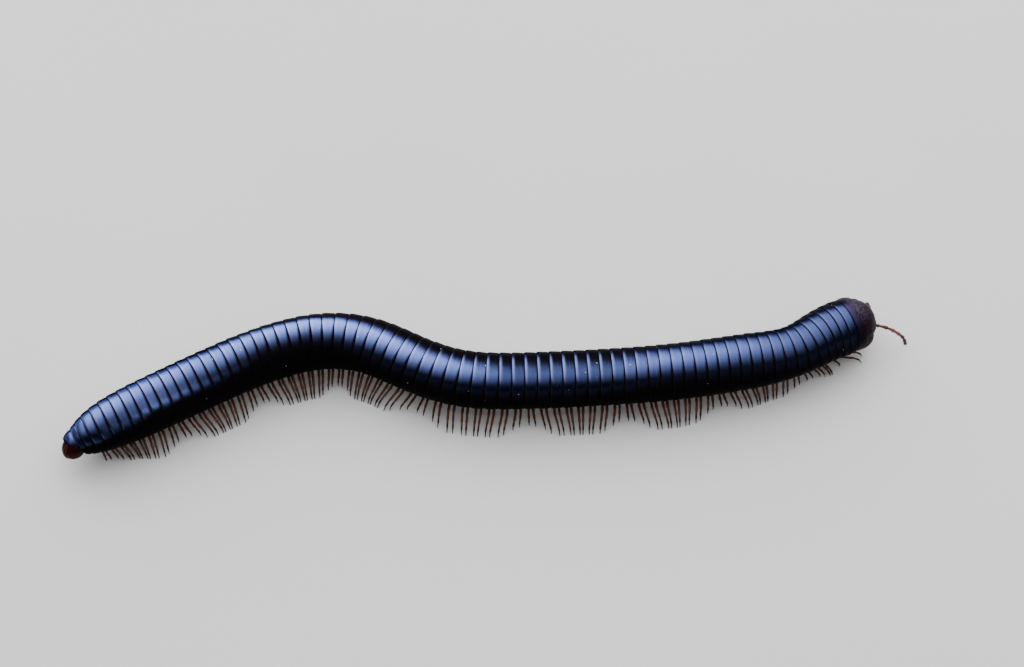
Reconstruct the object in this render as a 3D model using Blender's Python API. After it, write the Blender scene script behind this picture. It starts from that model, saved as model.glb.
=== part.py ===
"""A giant millipede, life size, as a still model that stands on its own feet.

Metres, +Z up. The head points to +X, the animal's left is +Y, and the floor is Z = 0.
The body follows a route on the floor. Distances along it run from the rear of the collum,
the shield behind the head, back to the tip of the tail.
"""

import math

import bmesh
import bpy
import numpy as np
from mathutils import Matrix, Vector

MM = 0.001
GAP = 0.3 * MM  # kept between touching pieces
HALF_GAP = GAP / 2
NEAR = 0.4 * MM  # a direction is taken between points this far ahead and behind

# Where the middle of the body passes over the floor, from the collum back to the tail.
ROUTE = [
    (80.7 * MM, 13.1 * MM),
    (75.3 * MM, 10.1 * MM),
    (70.3 * MM, 6.9 * MM),
    (58.8 * MM, 3.5 * MM),
    (42.8 * MM, 0.8 * MM),
    (24.7 * MM, -0.9 * MM),
    (6.6 * MM, -1.8 * MM),
    (-7.0 * MM, -1.0 * MM),
    (-18.3 * MM, 3.2 * MM),
    (-27.5 * MM, 7.5 * MM),
    (-36.7 * MM, 8.8 * MM),
    (-48.0 * MM, 6.4 * MM),
    (-65.7 * MM, -2.1 * MM),
    (-80.9 * MM, -10.5 * MM),
    (-95.8 * MM, -18.5 * MM),
]

# Trunk
BODY_RADIUS = 6.5 * MM
NECK_DIP = 0.6 * MM  # how much slimmer the body is a little behind the head
NECK_AT = 14 * MM
NECK_SPREAD = 8 * MM
TAIL_ROUNDING = 5.3 * MM  # how fast the tail end rounds off
CLEARANCE = 2.6 * MM  # from the floor to the belly
HEAD_DROP = 0.7 * MM  # how much lower the body is carried at the collum
HEAD_DROP_LENGTH = 16 * MM
TAIL_DROP = 0.55  # share of the lost radius by which the tail sinks
BELLY = 0.95  # the belly is flat at this share of the radius

# Rings
RINGS = 72
SIDES = 14
GROOVE = 0.945  # radius of a ring's front edge, as a share of its rear edge
STEP = 0.15  # share of a ring's length that drops to the next one
MIDDLE_RING = 33  # the rings are stretched most round this one
MIDDLE_SPREAD = 15
MIDDLE_STRETCH = 0.15
FRONT_RINGS = 10
FRONT_SHORT = 0.21
TAIL_SHORT = 0.46  # how much shorter the last ring is
TAIL_SHORT_RINGS = 1.6
TELSON_LENGTH = 4.0 * MM  # from the last ring to the tip of the valves

# The trunk is divided into these lengths, each a number of rings.
NECK_RINGS = 3
TRUNK_NODES = 7
TRUNK_RINGS = 9
TAIL_RINGS = RINGS - NECK_RINGS - TRUNK_NODES * TRUNK_RINGS
BARE_RINGS = 2  # the last rings carry no legs

# Legs
LEG_PLACES = (0.28, 0.74)  # along a ring, from its front
ROOT_OUT = 0.5 * MM
ROOT_UP = 0.4 * MM  # above the belly, inside the ring
KNEE_OUT = 5.4 * MM
KNEE_HEIGHT = 0.68  # as a share of the belly's
KNEE_SWING = 0.3  # share of the foot's swing
ANKLE_OUT = 8.7 * MM
ANKLE_HEIGHT = 1.1 * MM
ANKLE_SWING = 0.9  # shares of the foot's swing, lift and tuck
ANKLE_LIFT = 0.8
ANKLE_TUCK = 0.7
FOOT_OUT = 9.6 * MM
LEG_SIDES = (0.8 * MM, 0.72 * MM, 0.56 * MM, 0.34 * MM)  # root, knee, ankle, foot
BEND_STEP = 3 * MM  # a bend's room is measured this far ahead and behind
WAVE_LEGS = 16  # legs in one wave of the walk
SWING = 1.1 * MM
LIFT = 1.0 * MM
TUCK = 1.8 * MM  # how far a lifted foot is drawn in
LIFTED_FROM = 0.2  # the part of the wave in which the feet are up
FRONT_REACH = (0.6, 14 * MM, 44 * MM)  # how far out the feet are at first, to where, then full
TAIL_REACH = (0.55, 8 * MM, 26 * MM)  # the same from the tip of the tail
FRONT_FEET = ((4.4 * MM, 0.5), (4.9 * MM, 0.66), (1.6 * MM, 0.5))  # ahead, and how far out

# Head, in the frame of the collum's rear: x forward, y left, z up
COLLUM_LENGTH = 3.3 * MM
COLLUM_RADIUS = 6.3 * MM
COLLUM_PROFILE = ((0.0, 0.965), (0.12, 1.0), (0.45, 1.01), (0.8, 0.975), (1.0, 0.91))
CHEEK_TOP = 0.2 * MM
CHEEK_PLANE = (Vector((COLLUM_LENGTH, 0, CHEEK_TOP)), Vector((0.857, 0, -0.514)))
SHIELD_LEVEL = -4.7 * MM  # the collum's lower edge
MOUTH_LEVEL = -4.9 * MM
HEAD_CENTRE = Vector((2.8 * MM, 0, -0.4 * MM))
HEAD_HALF = Vector((4.9 * MM, 5.4 * MM, 5.8 * MM))
CHEEK_INSIDE = 3.3 * MM  # from the middle of the head
CHEEK_CENTRE = Vector((3.0 * MM, 3.0 * MM, -2.3 * MM))
CHEEK_HALF = Vector((3.4 * MM, 2.6 * MM, 3.0 * MM))
CHIN_CENTRE = Vector((2.9 * MM, 0, -4.8 * MM))
CHIN_HALF = Vector((3.4 * MM, 3.15 * MM, 1.3 * MM))
EYE_Y = 4.4 * MM
EYE_Z = 1.9 * MM
EYE_HALF = Vector((1.05 * MM, 0.7 * MM, 0.5 * MM))  # across, up, and out of the head
SOCKET_Y = 3.0 * MM
SOCKET_Z = 0.5 * MM
SOCKET_CLEAR = 0.1 * MM  # room for the feeler's slanted root

# Antennae: where each bends to, as steps from its socket: forward, outward, up
RIGHT_ANTENNA = ((1.9, 1.5, -0.4), (3.9, 2.8, -1.8), (5.5, 3.7, -3.8), (6.2, 4.1, -5.9))
LEFT_ANTENNA = ((1.2, 0.1, -0.8), (2.1, -0.1, -2.8), (2.2, -0.5, -5.0), (1.8, -0.9, -7.0))
ARTICLES = (0.8, 1.9, 1.6, 1.5, 1.5, 1.5, 0.7)  # relative lengths
ARTICLE_ENDS = 0.06  # each article starts and ends this share of its length inside its own
ARTICLE_SIDES = 6
ARTICLE_THICK = 0.5 * MM
ARTICLE_THIN = 0.36 * MM
ANTENNA_SAMPLES = 60

# Tail, in the frame of the last ring's rear: x forward, y left, z up
TELSON_PROFILE = ((0.0, 0.95), (0.3, 0.95), (0.65, 0.89), (1.0, 0.80), (1.3, 0.68))
TELSON_RING = 2.4 * MM
TELSON_TURN = Matrix.Rotation(math.radians(20), 4, "Z")  # the tail end bends to the right
VALVE_PLANE = (TELSON_TURN @ Vector((-1.1 * MM, 0, 0)), TELSON_TURN @ Vector((-0.94, 0, -0.34)))
VALVE_CENTRE = TELSON_TURN @ Vector((-1.55 * MM, 0, -0.15 * MM))
VALVE_HALF = Vector((2.9 * MM, 2.8 * MM, 2.8 * MM))
SCALE_LEVEL = -2.1 * MM  # the small plate under the valves starts here

FORWARD = Vector((1, 0, 0))
UP = Vector((0, 0, 1))


def clear_scene():
    for old in list(bpy.data.objects):
        bpy.data.objects.remove(old)


def finish(name, colour, roughness):
    """A plain finish for the solids."""
    made = bpy.data.materials.new(name)
    made.use_nodes = True
    shader = made.node_tree.nodes["Principled BSDF"]
    shader.inputs["Base Color"].default_value = (*colour, 1)
    shader.inputs["Roughness"].default_value = roughness
    shader.inputs["Metallic"].default_value = 0
    return made


def natural_spline(points, count):
    """A smooth curve of count points through the given ones."""
    points = np.array(points)
    knots = np.concatenate([[0], np.cumsum(np.linalg.norm(np.diff(points, axis=0), axis=1))])
    steps = np.diff(knots)
    size = len(points)
    matrix = np.eye(size)
    right = np.zeros_like(points)
    for i in range(1, size - 1):
        matrix[i, i - 1 : i + 2] = steps[i - 1], 2 * (steps[i - 1] + steps[i]), steps[i]
        right[i] = 6 * (
            (points[i + 1] - points[i]) / steps[i] - (points[i] - points[i - 1]) / steps[i - 1]
        )
    bend = np.linalg.solve(matrix, right)
    at = np.linspace(0, knots[-1], count)
    i = np.clip(np.searchsorted(knots, at) - 1, 0, size - 2)
    h = steps[i][:, None]
    a = (knots[i + 1] - at)[:, None]
    b = (at - knots[i])[:, None]
    return (
        bend[i] * a**3 / (6 * h)
        + bend[i + 1] * b**3 / (6 * h)
        + (points[i] / h - bend[i] * h / 6) * a
        + (points[i + 1] / h - bend[i + 1] * h / 6) * b
    )


ROUTE_SAMPLES = 2000
FLOOR_LINE = natural_spline(ROUTE, ROUTE_SAMPLES)
ALONG = np.concatenate([[0], np.cumsum(np.linalg.norm(np.diff(FLOOR_LINE, axis=0), axis=1))])
LENGTH = ALONG[-1]


def body_radius(s):
    """Radius of the body at a distance s behind the collum's rear."""
    dip = NECK_DIP * math.exp(-(((s - NECK_AT) / NECK_SPREAD) ** 2))
    return (BODY_RADIUS - dip) * (1 - math.exp(-max(LENGTH - s, 0) / TAIL_ROUNDING))


def axis_height(s):
    drop = HEAD_DROP * max(0, 1 - s / HEAD_DROP_LENGTH) ** 2
    thinner = BODY_RADIUS - body_radius(max(s, NECK_AT + 2 * NECK_SPREAD))
    return CLEARANCE + BODY_RADIUS - drop - TAIL_DROP * thinner


def axis_point(s):
    x, y = (np.interp(s, ALONG, FLOOR_LINE[:, i]) for i in range(2))
    return Vector((x, y, axis_height(s)))


def frame_at(s):
    """Place and turn of the body at s: x forward, y left, z up."""
    forward = (axis_point(max(s - NEAR, 0)) - axis_point(min(s + NEAR, LENGTH))).normalized()
    left = UP.cross(forward).normalized()
    up = forward.cross(left)
    frame = Matrix((forward, left, up)).transposed().to_4x4()
    frame.translation = axis_point(s)
    return frame


def ring_lengths():
    """Length of each ring, made to fill the route from the collum to the telson."""
    shares = []
    for k in range(RINGS):
        share = 1 + MIDDLE_STRETCH * math.exp(-(((k - MIDDLE_RING) / MIDDLE_SPREAD) ** 2))
        share -= FRONT_SHORT * max(0, 1 - k / FRONT_RINGS)
        share -= TAIL_SHORT / (1 + ((RINGS - 1 - k) / TAIL_SHORT_RINGS) ** 2)
        shares.append(share)
    scale = (LENGTH - TELSON_LENGTH) / sum(shares)
    return [share * scale for share in shares]


RING_STARTS = np.concatenate([[0], np.cumsum(ring_lengths())])


def circle(frame, x, radius, sides=SIDES, belly=BELLY):
    """A loop of points round a frame's x axis, with a flat belly."""
    loop = []
    for i in range(sides):
        angle = 2 * math.pi * (i + 0.5) / sides
        y = radius * math.sin(angle)
        z = max(-radius * math.cos(angle), -belly * radius)
        loop.append(frame @ Vector((x, y, z)))
    return loop


def loft(loops):
    """A closed mesh through loops of equal counts, with flat ends."""
    mesh = bmesh.new()
    rows = [[mesh.verts.new(p) for p in loop] for loop in loops]
    count = len(rows[0])
    for near, far in zip(rows, rows[1:]):
        for i in range(count):
            j = (i + 1) % count
            mesh.faces.new((near[i], near[j], far[j], far[i]))
    mesh.faces.new(rows[0])
    mesh.faces.new(rows[-1])
    bmesh.ops.recalc_face_normals(mesh, faces=mesh.faces)
    return mesh


def ellipsoid(centre, half, around=16, along=8, turn=None):
    """A closed ellipsoid whose poles lie on its own z axis."""
    mesh = bmesh.new()
    place = Matrix.Translation(centre) @ (turn or Matrix.Identity(4)) @ Matrix.Diagonal((*half, 1))
    bmesh.ops.create_uvsphere(mesh, u_segments=around, v_segments=along, radius=1, matrix=place)
    return mesh


def slice_off(mesh, point, normal):
    """Removes what lies beyond a plane, and closes the cut."""
    cut = bmesh.ops.bisect_plane(
        mesh,
        geom=[*mesh.verts, *mesh.edges, *mesh.faces],
        dist=1e-7,
        plane_co=point,
        plane_no=normal,
        clear_outer=True,
    )
    rim = [e for e in cut["geom_cut"] if isinstance(e, bmesh.types.BMEdge)]
    bmesh.ops.contextual_create(mesh, geom=rim)
    bmesh.ops.recalc_face_normals(mesh, faces=mesh.faces)


def mesh_object(name, mesh, material=None, parent=None):
    data = bpy.data.meshes.new(name)
    mesh.to_mesh(data)
    mesh.free()
    made = bpy.data.objects.new(name, data)
    bpy.context.scene.collection.objects.link(made)
    if material:
        data.materials.append(material)
    made.parent = parent
    return made


def largest_body(mesh):
    """Keeps the biggest closed surface of a mesh."""
    bodies = []
    left = set(mesh.faces)
    while left:
        body = {left.pop()}
        edge_of = list(body)
        while edge_of:
            face = edge_of.pop()
            for edge in face.edges:
                for other in edge.link_faces:
                    if other in left:
                        left.discard(other)
                        body.add(other)
                        edge_of.append(other)
        bodies.append(body)
    largest = max(bodies, key=lambda faces: sum(f.calc_area() for f in faces))
    loose = [f for body in bodies if body is not largest for f in body]
    bmesh.ops.delete(mesh, geom=loose, context="FACES")


def combine(base, pieces, operation):
    """Joins closed pieces to the base, or cuts them from it, and removes them."""
    group = bpy.data.collections.new("pieces")
    bpy.context.scene.collection.children.link(group)
    for piece in pieces:
        group.objects.link(piece)
    change = base.modifiers.new("combine", "BOOLEAN")
    change.operand_type = "COLLECTION"
    change.collection = group
    change.operation = operation
    change.solver = "EXACT"
    bpy.context.view_layer.update()
    graph = bpy.context.evaluated_depsgraph_get()
    result = bpy.data.meshes.new_from_object(base.evaluated_get(graph))
    base.modifiers.clear()
    old = base.data
    base.data = result
    result.name = base.name
    bpy.data.meshes.remove(old)
    for piece in pieces:
        bpy.data.objects.remove(piece)
    bpy.data.collections.remove(group)
    mesh = bmesh.new()
    mesh.from_mesh(base.data)
    largest_body(mesh)
    mesh.to_mesh(base.data)
    mesh.free()


def smooth(made, angle=30):
    made.data.shade_smooth()
    made.data.set_sharp_from_angle(angle=math.radians(angle))


def ease(distance, least, start, full):
    """A share that grows smoothly from least, at start, to 1."""
    share = min(1, max(0, (distance - start) / (full - start)))
    return least + (1 - least) * share * share * (3 - 2 * share)


def reach(s):
    """How far out the feet stand at s, as a share of their full reach."""
    return min(ease(s, *FRONT_REACH), ease(LENGTH - s, *TAIL_REACH))


def bend_room(s, side):
    """Share of the usual room between feet on this side, which is less inside a bend."""
    here = frame_at(s)
    offset = side * FOOT_OUT * reach(s)
    ahead, behind = (
        frame_at(min(max(s + step, 0), LENGTH)) @ Vector((0, offset, 0))
        for step in (-BEND_STEP, BEND_STEP)
    )
    along = (ahead - behind).dot(here.to_3x3() @ FORWARD)
    return min(1, along / (2 * BEND_STEP))


def leg(s, side, number, ahead_by, width):
    """One leg rooted in the belly at s. side is 1 for the left and -1 for the right."""
    frame = frame_at(s)
    forwards = frame.to_3x3() @ FORWARD
    ahead = Vector((forwards.x, forwards.y, 0)).normalized()
    out = UP.cross(ahead) * side
    below = frame @ Vector((0, 0, -BELLY * body_radius(s)))
    belly = below.z
    middle = Vector((below.x, below.y, 0))
    phase = 2 * math.pi * number / WAVE_LEGS
    bunch = max(0, -math.cos(phase) - LIFTED_FROM) / (1 - LIFTED_FROM)
    swing = ahead_by + SWING * math.sin(phase) * bend_room(s, side) ** 2
    foot = FOOT_OUT - TUCK * bunch
    ankle = ANKLE_OUT - ANKLE_TUCK * TUCK * bunch
    lift = LIFT * bunch
    stations = (
        (ROOT_OUT, 0.0, belly + ROOT_UP),
        (KNEE_OUT * width, KNEE_SWING * swing, KNEE_HEIGHT * belly),
        (ankle * width, ANKLE_SWING * swing, ANKLE_HEIGHT + ANKLE_LIFT * lift),
        (foot * width, swing, lift),
    )
    centres = [middle + out * y + ahead * x + UP * z for y, x, z in stations]
    loops = []
    for i, (centre, side_length) in enumerate(zip(centres, LEG_SIDES)):
        run = centres[min(i + 1, len(centres) - 1)] - centres[max(i - 1, 0)]
        across = -UP if i == len(centres) - 1 else run.normalized()
        wide = (ahead - across * ahead.dot(across)).normalized() * side_length / 2
        deep = across.cross(wide).normalized() * side_length / 2
        corners = ((1, 1), (-1, 1), (-1, -1), (1, -1))
        loops.append([centre + wide * a + deep * b for a, b in corners])
    return loft(loops)


def legs_of(k):
    """The legs of ring k, as free meshes. The first rings have one pair, the rest two."""
    start, length = RING_STARTS[k], RING_STARTS[k + 1] - RING_STARTS[k]
    if k >= RINGS - BARE_RINGS:
        return []
    if k < NECK_RINGS:
        places = [(sum(LEG_PLACES) / 2, k, *FRONT_FEET[k])]
    else:
        first = NECK_RINGS + 2 * (k - NECK_RINGS)
        places = [
            (place, first + i, 0, reach(start + place * length))
            for i, place in enumerate(LEG_PLACES)
        ]
    return [
        leg(start + place * length, side, number, ahead_by, width)
        for place, number, ahead_by, width in places
        for side in (1, -1)
    ]


def body_length(name, first, count, material, parent):
    """A length of the body: count rings from the given one, with their legs."""
    loops = []
    for k in range(first, first + count):
        start, end = RING_STARTS[k], RING_STARTS[k + 1]
        front = start + (HALF_GAP if k == first else 0)
        rear = end - (HALF_GAP if k == first + count - 1 else STEP * (end - start))
        loops.append(circle(frame_at(front), 0, GROOVE * body_radius(front)))
        loops.append(circle(frame_at(rear), 0, body_radius(rear)))
    made = mesh_object(name, loft(loops), material, parent)
    legs = [m for k in range(first, first + count) for m in legs_of(k)]
    if legs:
        combine(made, [mesh_object("leg", m, material) for m in legs], "UNION")
    smooth(made)


def box(low, high):
    mesh = bmesh.new()
    middle = [(a + b) / 2 for a, b in zip(low, high)]
    size = [b - a for a, b in zip(low, high)]
    place = Matrix.Translation(middle) @ Matrix.Diagonal((*size, 1))
    bmesh.ops.create_cube(mesh, size=1, matrix=place)
    return mesh


def collum(material, parent):
    """The shield behind the head: a saddle, open below and cut back for the cheeks."""
    still = Matrix.Identity(4)
    loops = [
        circle(still, HALF_GAP + x * (COLLUM_LENGTH - HALF_GAP), share * COLLUM_RADIUS)
        for x, share in COLLUM_PROFILE
    ]
    mesh = loft(loops)
    slice_off(mesh, *CHEEK_PLANE)
    slice_off(mesh, Vector((0, 0, SHIELD_LEVEL)), -UP)
    smooth(mesh_object("collum", mesh, material, parent))


def on_head(y, z):
    """The head's surface point at y and z, on its front half, and the way it faces there."""
    y_share, z_share = (y - HEAD_CENTRE.y) / HEAD_HALF.y, (z - HEAD_CENTRE.z) / HEAD_HALF.z
    x_share = math.sqrt(1 - y_share**2 - z_share**2)
    point = Vector((HEAD_CENTRE.x + HEAD_HALF.x * x_share, y, z))
    facing = Vector((x_share / HEAD_HALF.x, y_share / HEAD_HALF.y, z_share / HEAD_HALF.z))
    return point, facing.normalized()


def eye_mesh(side, grown=0.0):
    """An oval field of eyes set half into the head."""
    point, facing = on_head(side * EYE_Y, EYE_Z)
    turn = facing.to_track_quat("Z", "Y").to_matrix().to_4x4()
    half = EYE_HALF + Vector((grown, grown, grown))
    return ellipsoid(point, half, around=12, along=6, turn=turn)


def head(material, parent):
    mesh = ellipsoid(HEAD_CENTRE, HEAD_HALF, around=24, along=14)
    slice_off(mesh, Vector((COLLUM_LENGTH + GAP, 0, 0)), -FORWARD)
    slice_off(mesh, Vector((0, 0, MOUTH_LEVEL)), -UP)
    made = mesh_object("head", mesh, material, parent)
    cutters = []
    far = 2 * COLLUM_RADIUS
    inner = CHEEK_INSIDE - HALF_GAP
    for side in (1, -1):
        low, high = sorted((side * inner, side * far))
        cutters.append(box((-far, low, -far), (far, high, CHEEK_TOP + HALF_GAP)))
        cutters.append(eye_mesh(side, GAP))
    objects = [mesh_object("cutter", m) for m in cutters]
    for cutter in objects:
        cutter.matrix_world = parent.matrix_world
    combine(made, objects, "DIFFERENCE")
    smooth(made)


def cheek(side, material, parent):
    """The base of one jaw, which fills the notch in the side of the head."""
    centre = Vector((CHEEK_CENTRE.x, side * CHEEK_CENTRE.y, CHEEK_CENTRE.z))
    mesh = ellipsoid(centre, CHEEK_HALF, around=16, along=10)
    point, normal = CHEEK_PLANE
    slice_off(mesh, point + normal * GAP, -normal)
    slice_off(mesh, Vector((0, side * (CHEEK_INSIDE + HALF_GAP), 0)), Vector((0, -side, 0)))
    slice_off(mesh, Vector((0, 0, CHEEK_TOP - HALF_GAP)), UP)
    name = "jaw_base_left" if side > 0 else "jaw_base_right"
    smooth(mesh_object(name, mesh, material, parent))


def chin(material, parent):
    """The plate that closes the mouth from below."""
    mesh = ellipsoid(CHIN_CENTRE, CHIN_HALF, around=18, along=10)
    slice_off(mesh, Vector((0, 0, MOUTH_LEVEL - GAP)), UP)
    slice_off(mesh, Vector((HALF_GAP, 0, 0)), -FORWARD)
    smooth(mesh_object("chin_plate", mesh, material, parent))


def eye(side, material, parent):
    name = "eye_left" if side > 0 else "eye_right"
    smooth(mesh_object(name, eye_mesh(side), material, parent))


def antenna(side, material, parent):
    """A feeler of seven articles that bends forward and down from its socket."""
    steps = LEFT_ANTENNA if side > 0 else RIGHT_ANTENNA
    point, facing = on_head(side * SOCKET_Y, SOCKET_Z)
    base = point + facing * (GAP + SOCKET_CLEAR)
    ends = [base + Vector((x, side * y, z)) * MM for x, y, z in steps]
    line = [Vector(p) for p in natural_spline([base, *ends], ANTENNA_SAMPLES)]
    run = np.concatenate([[0], np.cumsum([(b - a).length for a, b in zip(line, line[1:])])])
    loops = []
    start = 0.0
    for article in ARTICLES:
        length = article / sum(ARTICLES) * run[-1]
        for share, radius in ((ARTICLE_ENDS, ARTICLE_THIN), (1 - ARTICLE_ENDS, ARTICLE_THICK)):
            at = start + share * length
            behind, centre, ahead = (
                Vector([np.interp(at + step, run, [p[i] for p in line]) for i in range(3)])
                for step in (-NEAR, 0, NEAR)
            )
            turn = (ahead - behind).to_track_quat("X", "Z").to_matrix().to_4x4()
            place = Matrix.Translation(centre) @ turn
            loops.append(circle(place, 0, radius, ARTICLE_SIDES, belly=1))
        start += length
    name = "antenna_left" if side > 0 else "antenna_right"
    smooth(mesh_object(name, loft(loops), material, parent))


def telson(material, parent):
    """The last ring, whose rear is cut at a slant for the valves."""
    radius = body_radius(RING_STARTS[RINGS])
    loops = []
    for x, share in TELSON_PROFILE:
        bend = Matrix.Identity(4).lerp(TELSON_TURN, min(1, x))
        loops.append(circle(bend, -HALF_GAP - x * TELSON_RING, share * radius))
    mesh = loft(loops)
    slice_off(mesh, *VALVE_PLANE)
    smooth(mesh_object("telson", mesh, material, parent))


def valve(side, material, parent):
    """One of the two swollen valves that close the tail."""
    mesh = ellipsoid(VALVE_CENTRE, VALVE_HALF, around=16, along=12, turn=TELSON_TURN)
    point, normal = VALVE_PLANE
    slice_off(mesh, point + normal * GAP, -normal)
    slice_off(mesh, Vector((-HALF_GAP, 0, 0)), FORWARD)
    inwards = TELSON_TURN @ Vector((0, -side, 0))
    slice_off(mesh, -inwards * HALF_GAP, inwards)
    slice_off(mesh, Vector((0, 0, SCALE_LEVEL + HALF_GAP)), -UP)
    name = "anal_valve_left" if side > 0 else "anal_valve_right"
    smooth(mesh_object(name, mesh, material, parent))


def tail_scale(material, parent):
    """The small plate below the valves."""
    mesh = ellipsoid(VALVE_CENTRE, VALVE_HALF, around=16, along=12, turn=TELSON_TURN)
    slice_off(mesh, Vector((0, 0, SCALE_LEVEL - HALF_GAP)), UP)
    slice_off(mesh, Vector((-HALF_GAP, 0, 0)), FORWARD)
    point, normal = VALVE_PLANE
    slice_off(mesh, point + normal * GAP, -normal)
    smooth(mesh_object("tail_scale", mesh, material, parent))


def holder(name, frame, parent=None):
    empty = bpy.data.objects.new(name, None)
    bpy.context.scene.collection.objects.link(empty)
    empty.parent = parent
    empty.matrix_world = frame
    return empty


def main():
    clear_scene()
    shell = finish("black_shell", (0.012, 0.011, 0.016), 0.28)
    brown = finish("dark_brown", (0.05, 0.018, 0.012), 0.4)
    red = finish("tail_red", (0.10, 0.012, 0.008), 0.25)
    limb = finish("leg_red_brown", (0.20, 0.06, 0.03), 0.4)
    black = finish("eye_black", (0.008, 0.008, 0.008), 0.15)

    body = holder("millipede", Matrix.Identity(4))
    front = holder("collum_rear", frame_at(0), body)
    back = holder("last_ring_rear", frame_at(RING_STARTS[RINGS]), body)
    bpy.context.view_layer.update()

    head(brown, front)
    collum(shell, front)
    chin(brown, front)
    for side in (1, -1):
        cheek(side, brown, front)
        eye(side, black, front)
        antenna(side, limb, front)

    body_length("neck", 0, NECK_RINGS, shell, body)
    for i in range(TRUNK_NODES):
        first = NECK_RINGS + i * TRUNK_RINGS
        body_length(f"trunk_{i + 1}", first, TRUNK_RINGS, shell, body)
    body_length("tail", RINGS - TAIL_RINGS, TAIL_RINGS, shell, body)
    telson(shell, back)
    tail_scale(brown, back)
    for side in (1, -1):
        valve(side, red, back)


main()
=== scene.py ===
"""The looks of a giant millipede, life size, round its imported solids.

Metres, +Z up. The head points to +X, the animal's left is +Y, and the floor is Z = 0.
"""

import math
import random

import bpy
import numpy as np
from mathutils import Matrix, Vector, noise


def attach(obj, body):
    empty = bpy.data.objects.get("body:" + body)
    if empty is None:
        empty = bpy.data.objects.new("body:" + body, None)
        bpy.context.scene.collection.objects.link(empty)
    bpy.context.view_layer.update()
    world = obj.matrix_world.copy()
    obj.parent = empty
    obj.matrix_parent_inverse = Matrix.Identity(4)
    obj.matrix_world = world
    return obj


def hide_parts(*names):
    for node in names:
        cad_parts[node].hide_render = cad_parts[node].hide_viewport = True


bl_info = {
    "name": "Giant millipede",
    "version": (1, 0, 0),
    "blender": (4, 5, 0),
    "location": "3D View > Sidebar > Millipede",
    "description": "Builds a life-size giant millipede, piece by piece, and the studio round it",
    "category": "Add Mesh",
}

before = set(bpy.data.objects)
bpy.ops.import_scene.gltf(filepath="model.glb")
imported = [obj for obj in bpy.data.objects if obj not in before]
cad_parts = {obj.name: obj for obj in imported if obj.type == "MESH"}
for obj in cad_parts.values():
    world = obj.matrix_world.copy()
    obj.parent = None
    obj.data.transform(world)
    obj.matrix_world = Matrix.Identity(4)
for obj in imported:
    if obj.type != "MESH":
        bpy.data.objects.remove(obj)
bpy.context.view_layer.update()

MM = 0.001
GAP = 0.3 * MM
HALF_GAP = GAP / 2
SEED = 71

# Where the middle of the body passes over the floor, from the collum back to the tail.
ROUTE = [
    (80.7 * MM, 13.1 * MM),
    (75.3 * MM, 10.1 * MM),
    (70.3 * MM, 6.9 * MM),
    (58.8 * MM, 3.5 * MM),
    (42.8 * MM, 0.8 * MM),
    (24.7 * MM, -0.9 * MM),
    (6.6 * MM, -1.8 * MM),
    (-7.0 * MM, -1.0 * MM),
    (-18.3 * MM, 3.2 * MM),
    (-27.5 * MM, 7.5 * MM),
    (-36.7 * MM, 8.8 * MM),
    (-48.0 * MM, 6.4 * MM),
    (-65.7 * MM, -2.1 * MM),
    (-80.9 * MM, -10.5 * MM),
    (-95.8 * MM, -18.5 * MM),
]

# Trunk
BODY_RADIUS = 6.5 * MM
NECK_DIP = 0.6 * MM
NECK_AT = 14 * MM
NECK_SPREAD = 8 * MM
TAIL_ROUNDING = 5.3 * MM
CLEARANCE = 2.6 * MM
HEAD_DROP = 0.7 * MM
HEAD_DROP_LENGTH = 16 * MM
TAIL_DROP = 0.55
BELLY = 0.95

# Rings
RINGS = 72
MIDDLE_RING = 33
MIDDLE_SPREAD = 15
MIDDLE_STRETCH = 0.15
FRONT_RINGS = 10
FRONT_SHORT = 0.21
TAIL_SHORT = 0.46
TAIL_SHORT_RINGS = 1.6
TELSON_LENGTH = 4.0 * MM
NECK_RINGS = 3
TRUNK_NODES = 7
TRUNK_RINGS = 9
TAIL_RINGS = RINGS - NECK_RINGS - TRUNK_NODES * TRUNK_RINGS
BARE_RINGS = 2
SEAM = 0.01 * MM  # half the gap between two lengths of rings
RING_SIDES = 120
# A ring from front to rear: share of its length, share of the body's radius.
RING_PROFILE = (
    (0.0, 0.958), (0.025, 0.966), (0.06, 0.975), (0.12, 0.982), (0.18, 0.985), (0.215, 0.984),
    (0.245, 0.9845), (0.285, 0.987), (0.36, 0.990), (0.46, 0.993), (0.58, 0.9965), (0.70, 0.999),
    (0.79, 1.0), (0.865, 0.998), (0.92, 0.993), (0.96, 0.985), (0.985, 0.973), (1.0, 0.958),
)
# Where the sheen on the back is, a painted reflection: ring, middle in degrees to the right of the
# top, half its width to the left and to the right, strength, how far it climbs the rear lip as a
# painted highlight, how strong the pale spot under it is, also a painted reflection.
SHEEN = (
    (0, -9, 12, 42, 0.26, 0.2, 0), (6, -4, 25, 33, 0.26, 0.2, 0), (10, 0, 21, 25, 0.34, 0.25, 0),
    (18, 2, 17, 20, 0.46, 0.35, 0), (23, 22, 16, 20, 0.22, 1.0, 0), (31, 22, 16, 20, 0.21, 1.0, 0),
    (35, 7, 10, 20, 0.58, 0.6, 0), (40, 5, 9, 21, 0.80, 0.3, 0), (44, -5, 9, 20, 0.80, 0.2, 0),
    (48, -20, 7, 19, 1.0, 0.2, 0), (52, -24, 7, 20, 1.1, 0.3, 0), (56, -19, 11, 23, 0.78, 0.5, 0.1),
    (63, -24, 14, 24, 0.78, 0.5, 1.0), (66, -20, 16, 26, 0.74, 0.4, 0.8), (72, -18, 19, 29, 0.68, 0.4, 0),
)
SHEEN_WANDER = 1.5  # degrees, from ring to ring
# The pale spot is a painted reflection under the sheen.
SPOT_AT = 2.5  # where the pale spot is, in half widths of the sheen
RING_SWELL = (-0.004, 0.003)  # narrowest and widest ring, off the usual radius by these shares
RING_LEAN = 0.012  # how far a ring may lean, as a share of its length
FIRST_PORE_RING = 5
PORE_AT = 0.62  # along a ring
PORE_TURN = 84  # degrees from the top
PORE_DEPTH = 0.03  # share of the radius

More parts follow.
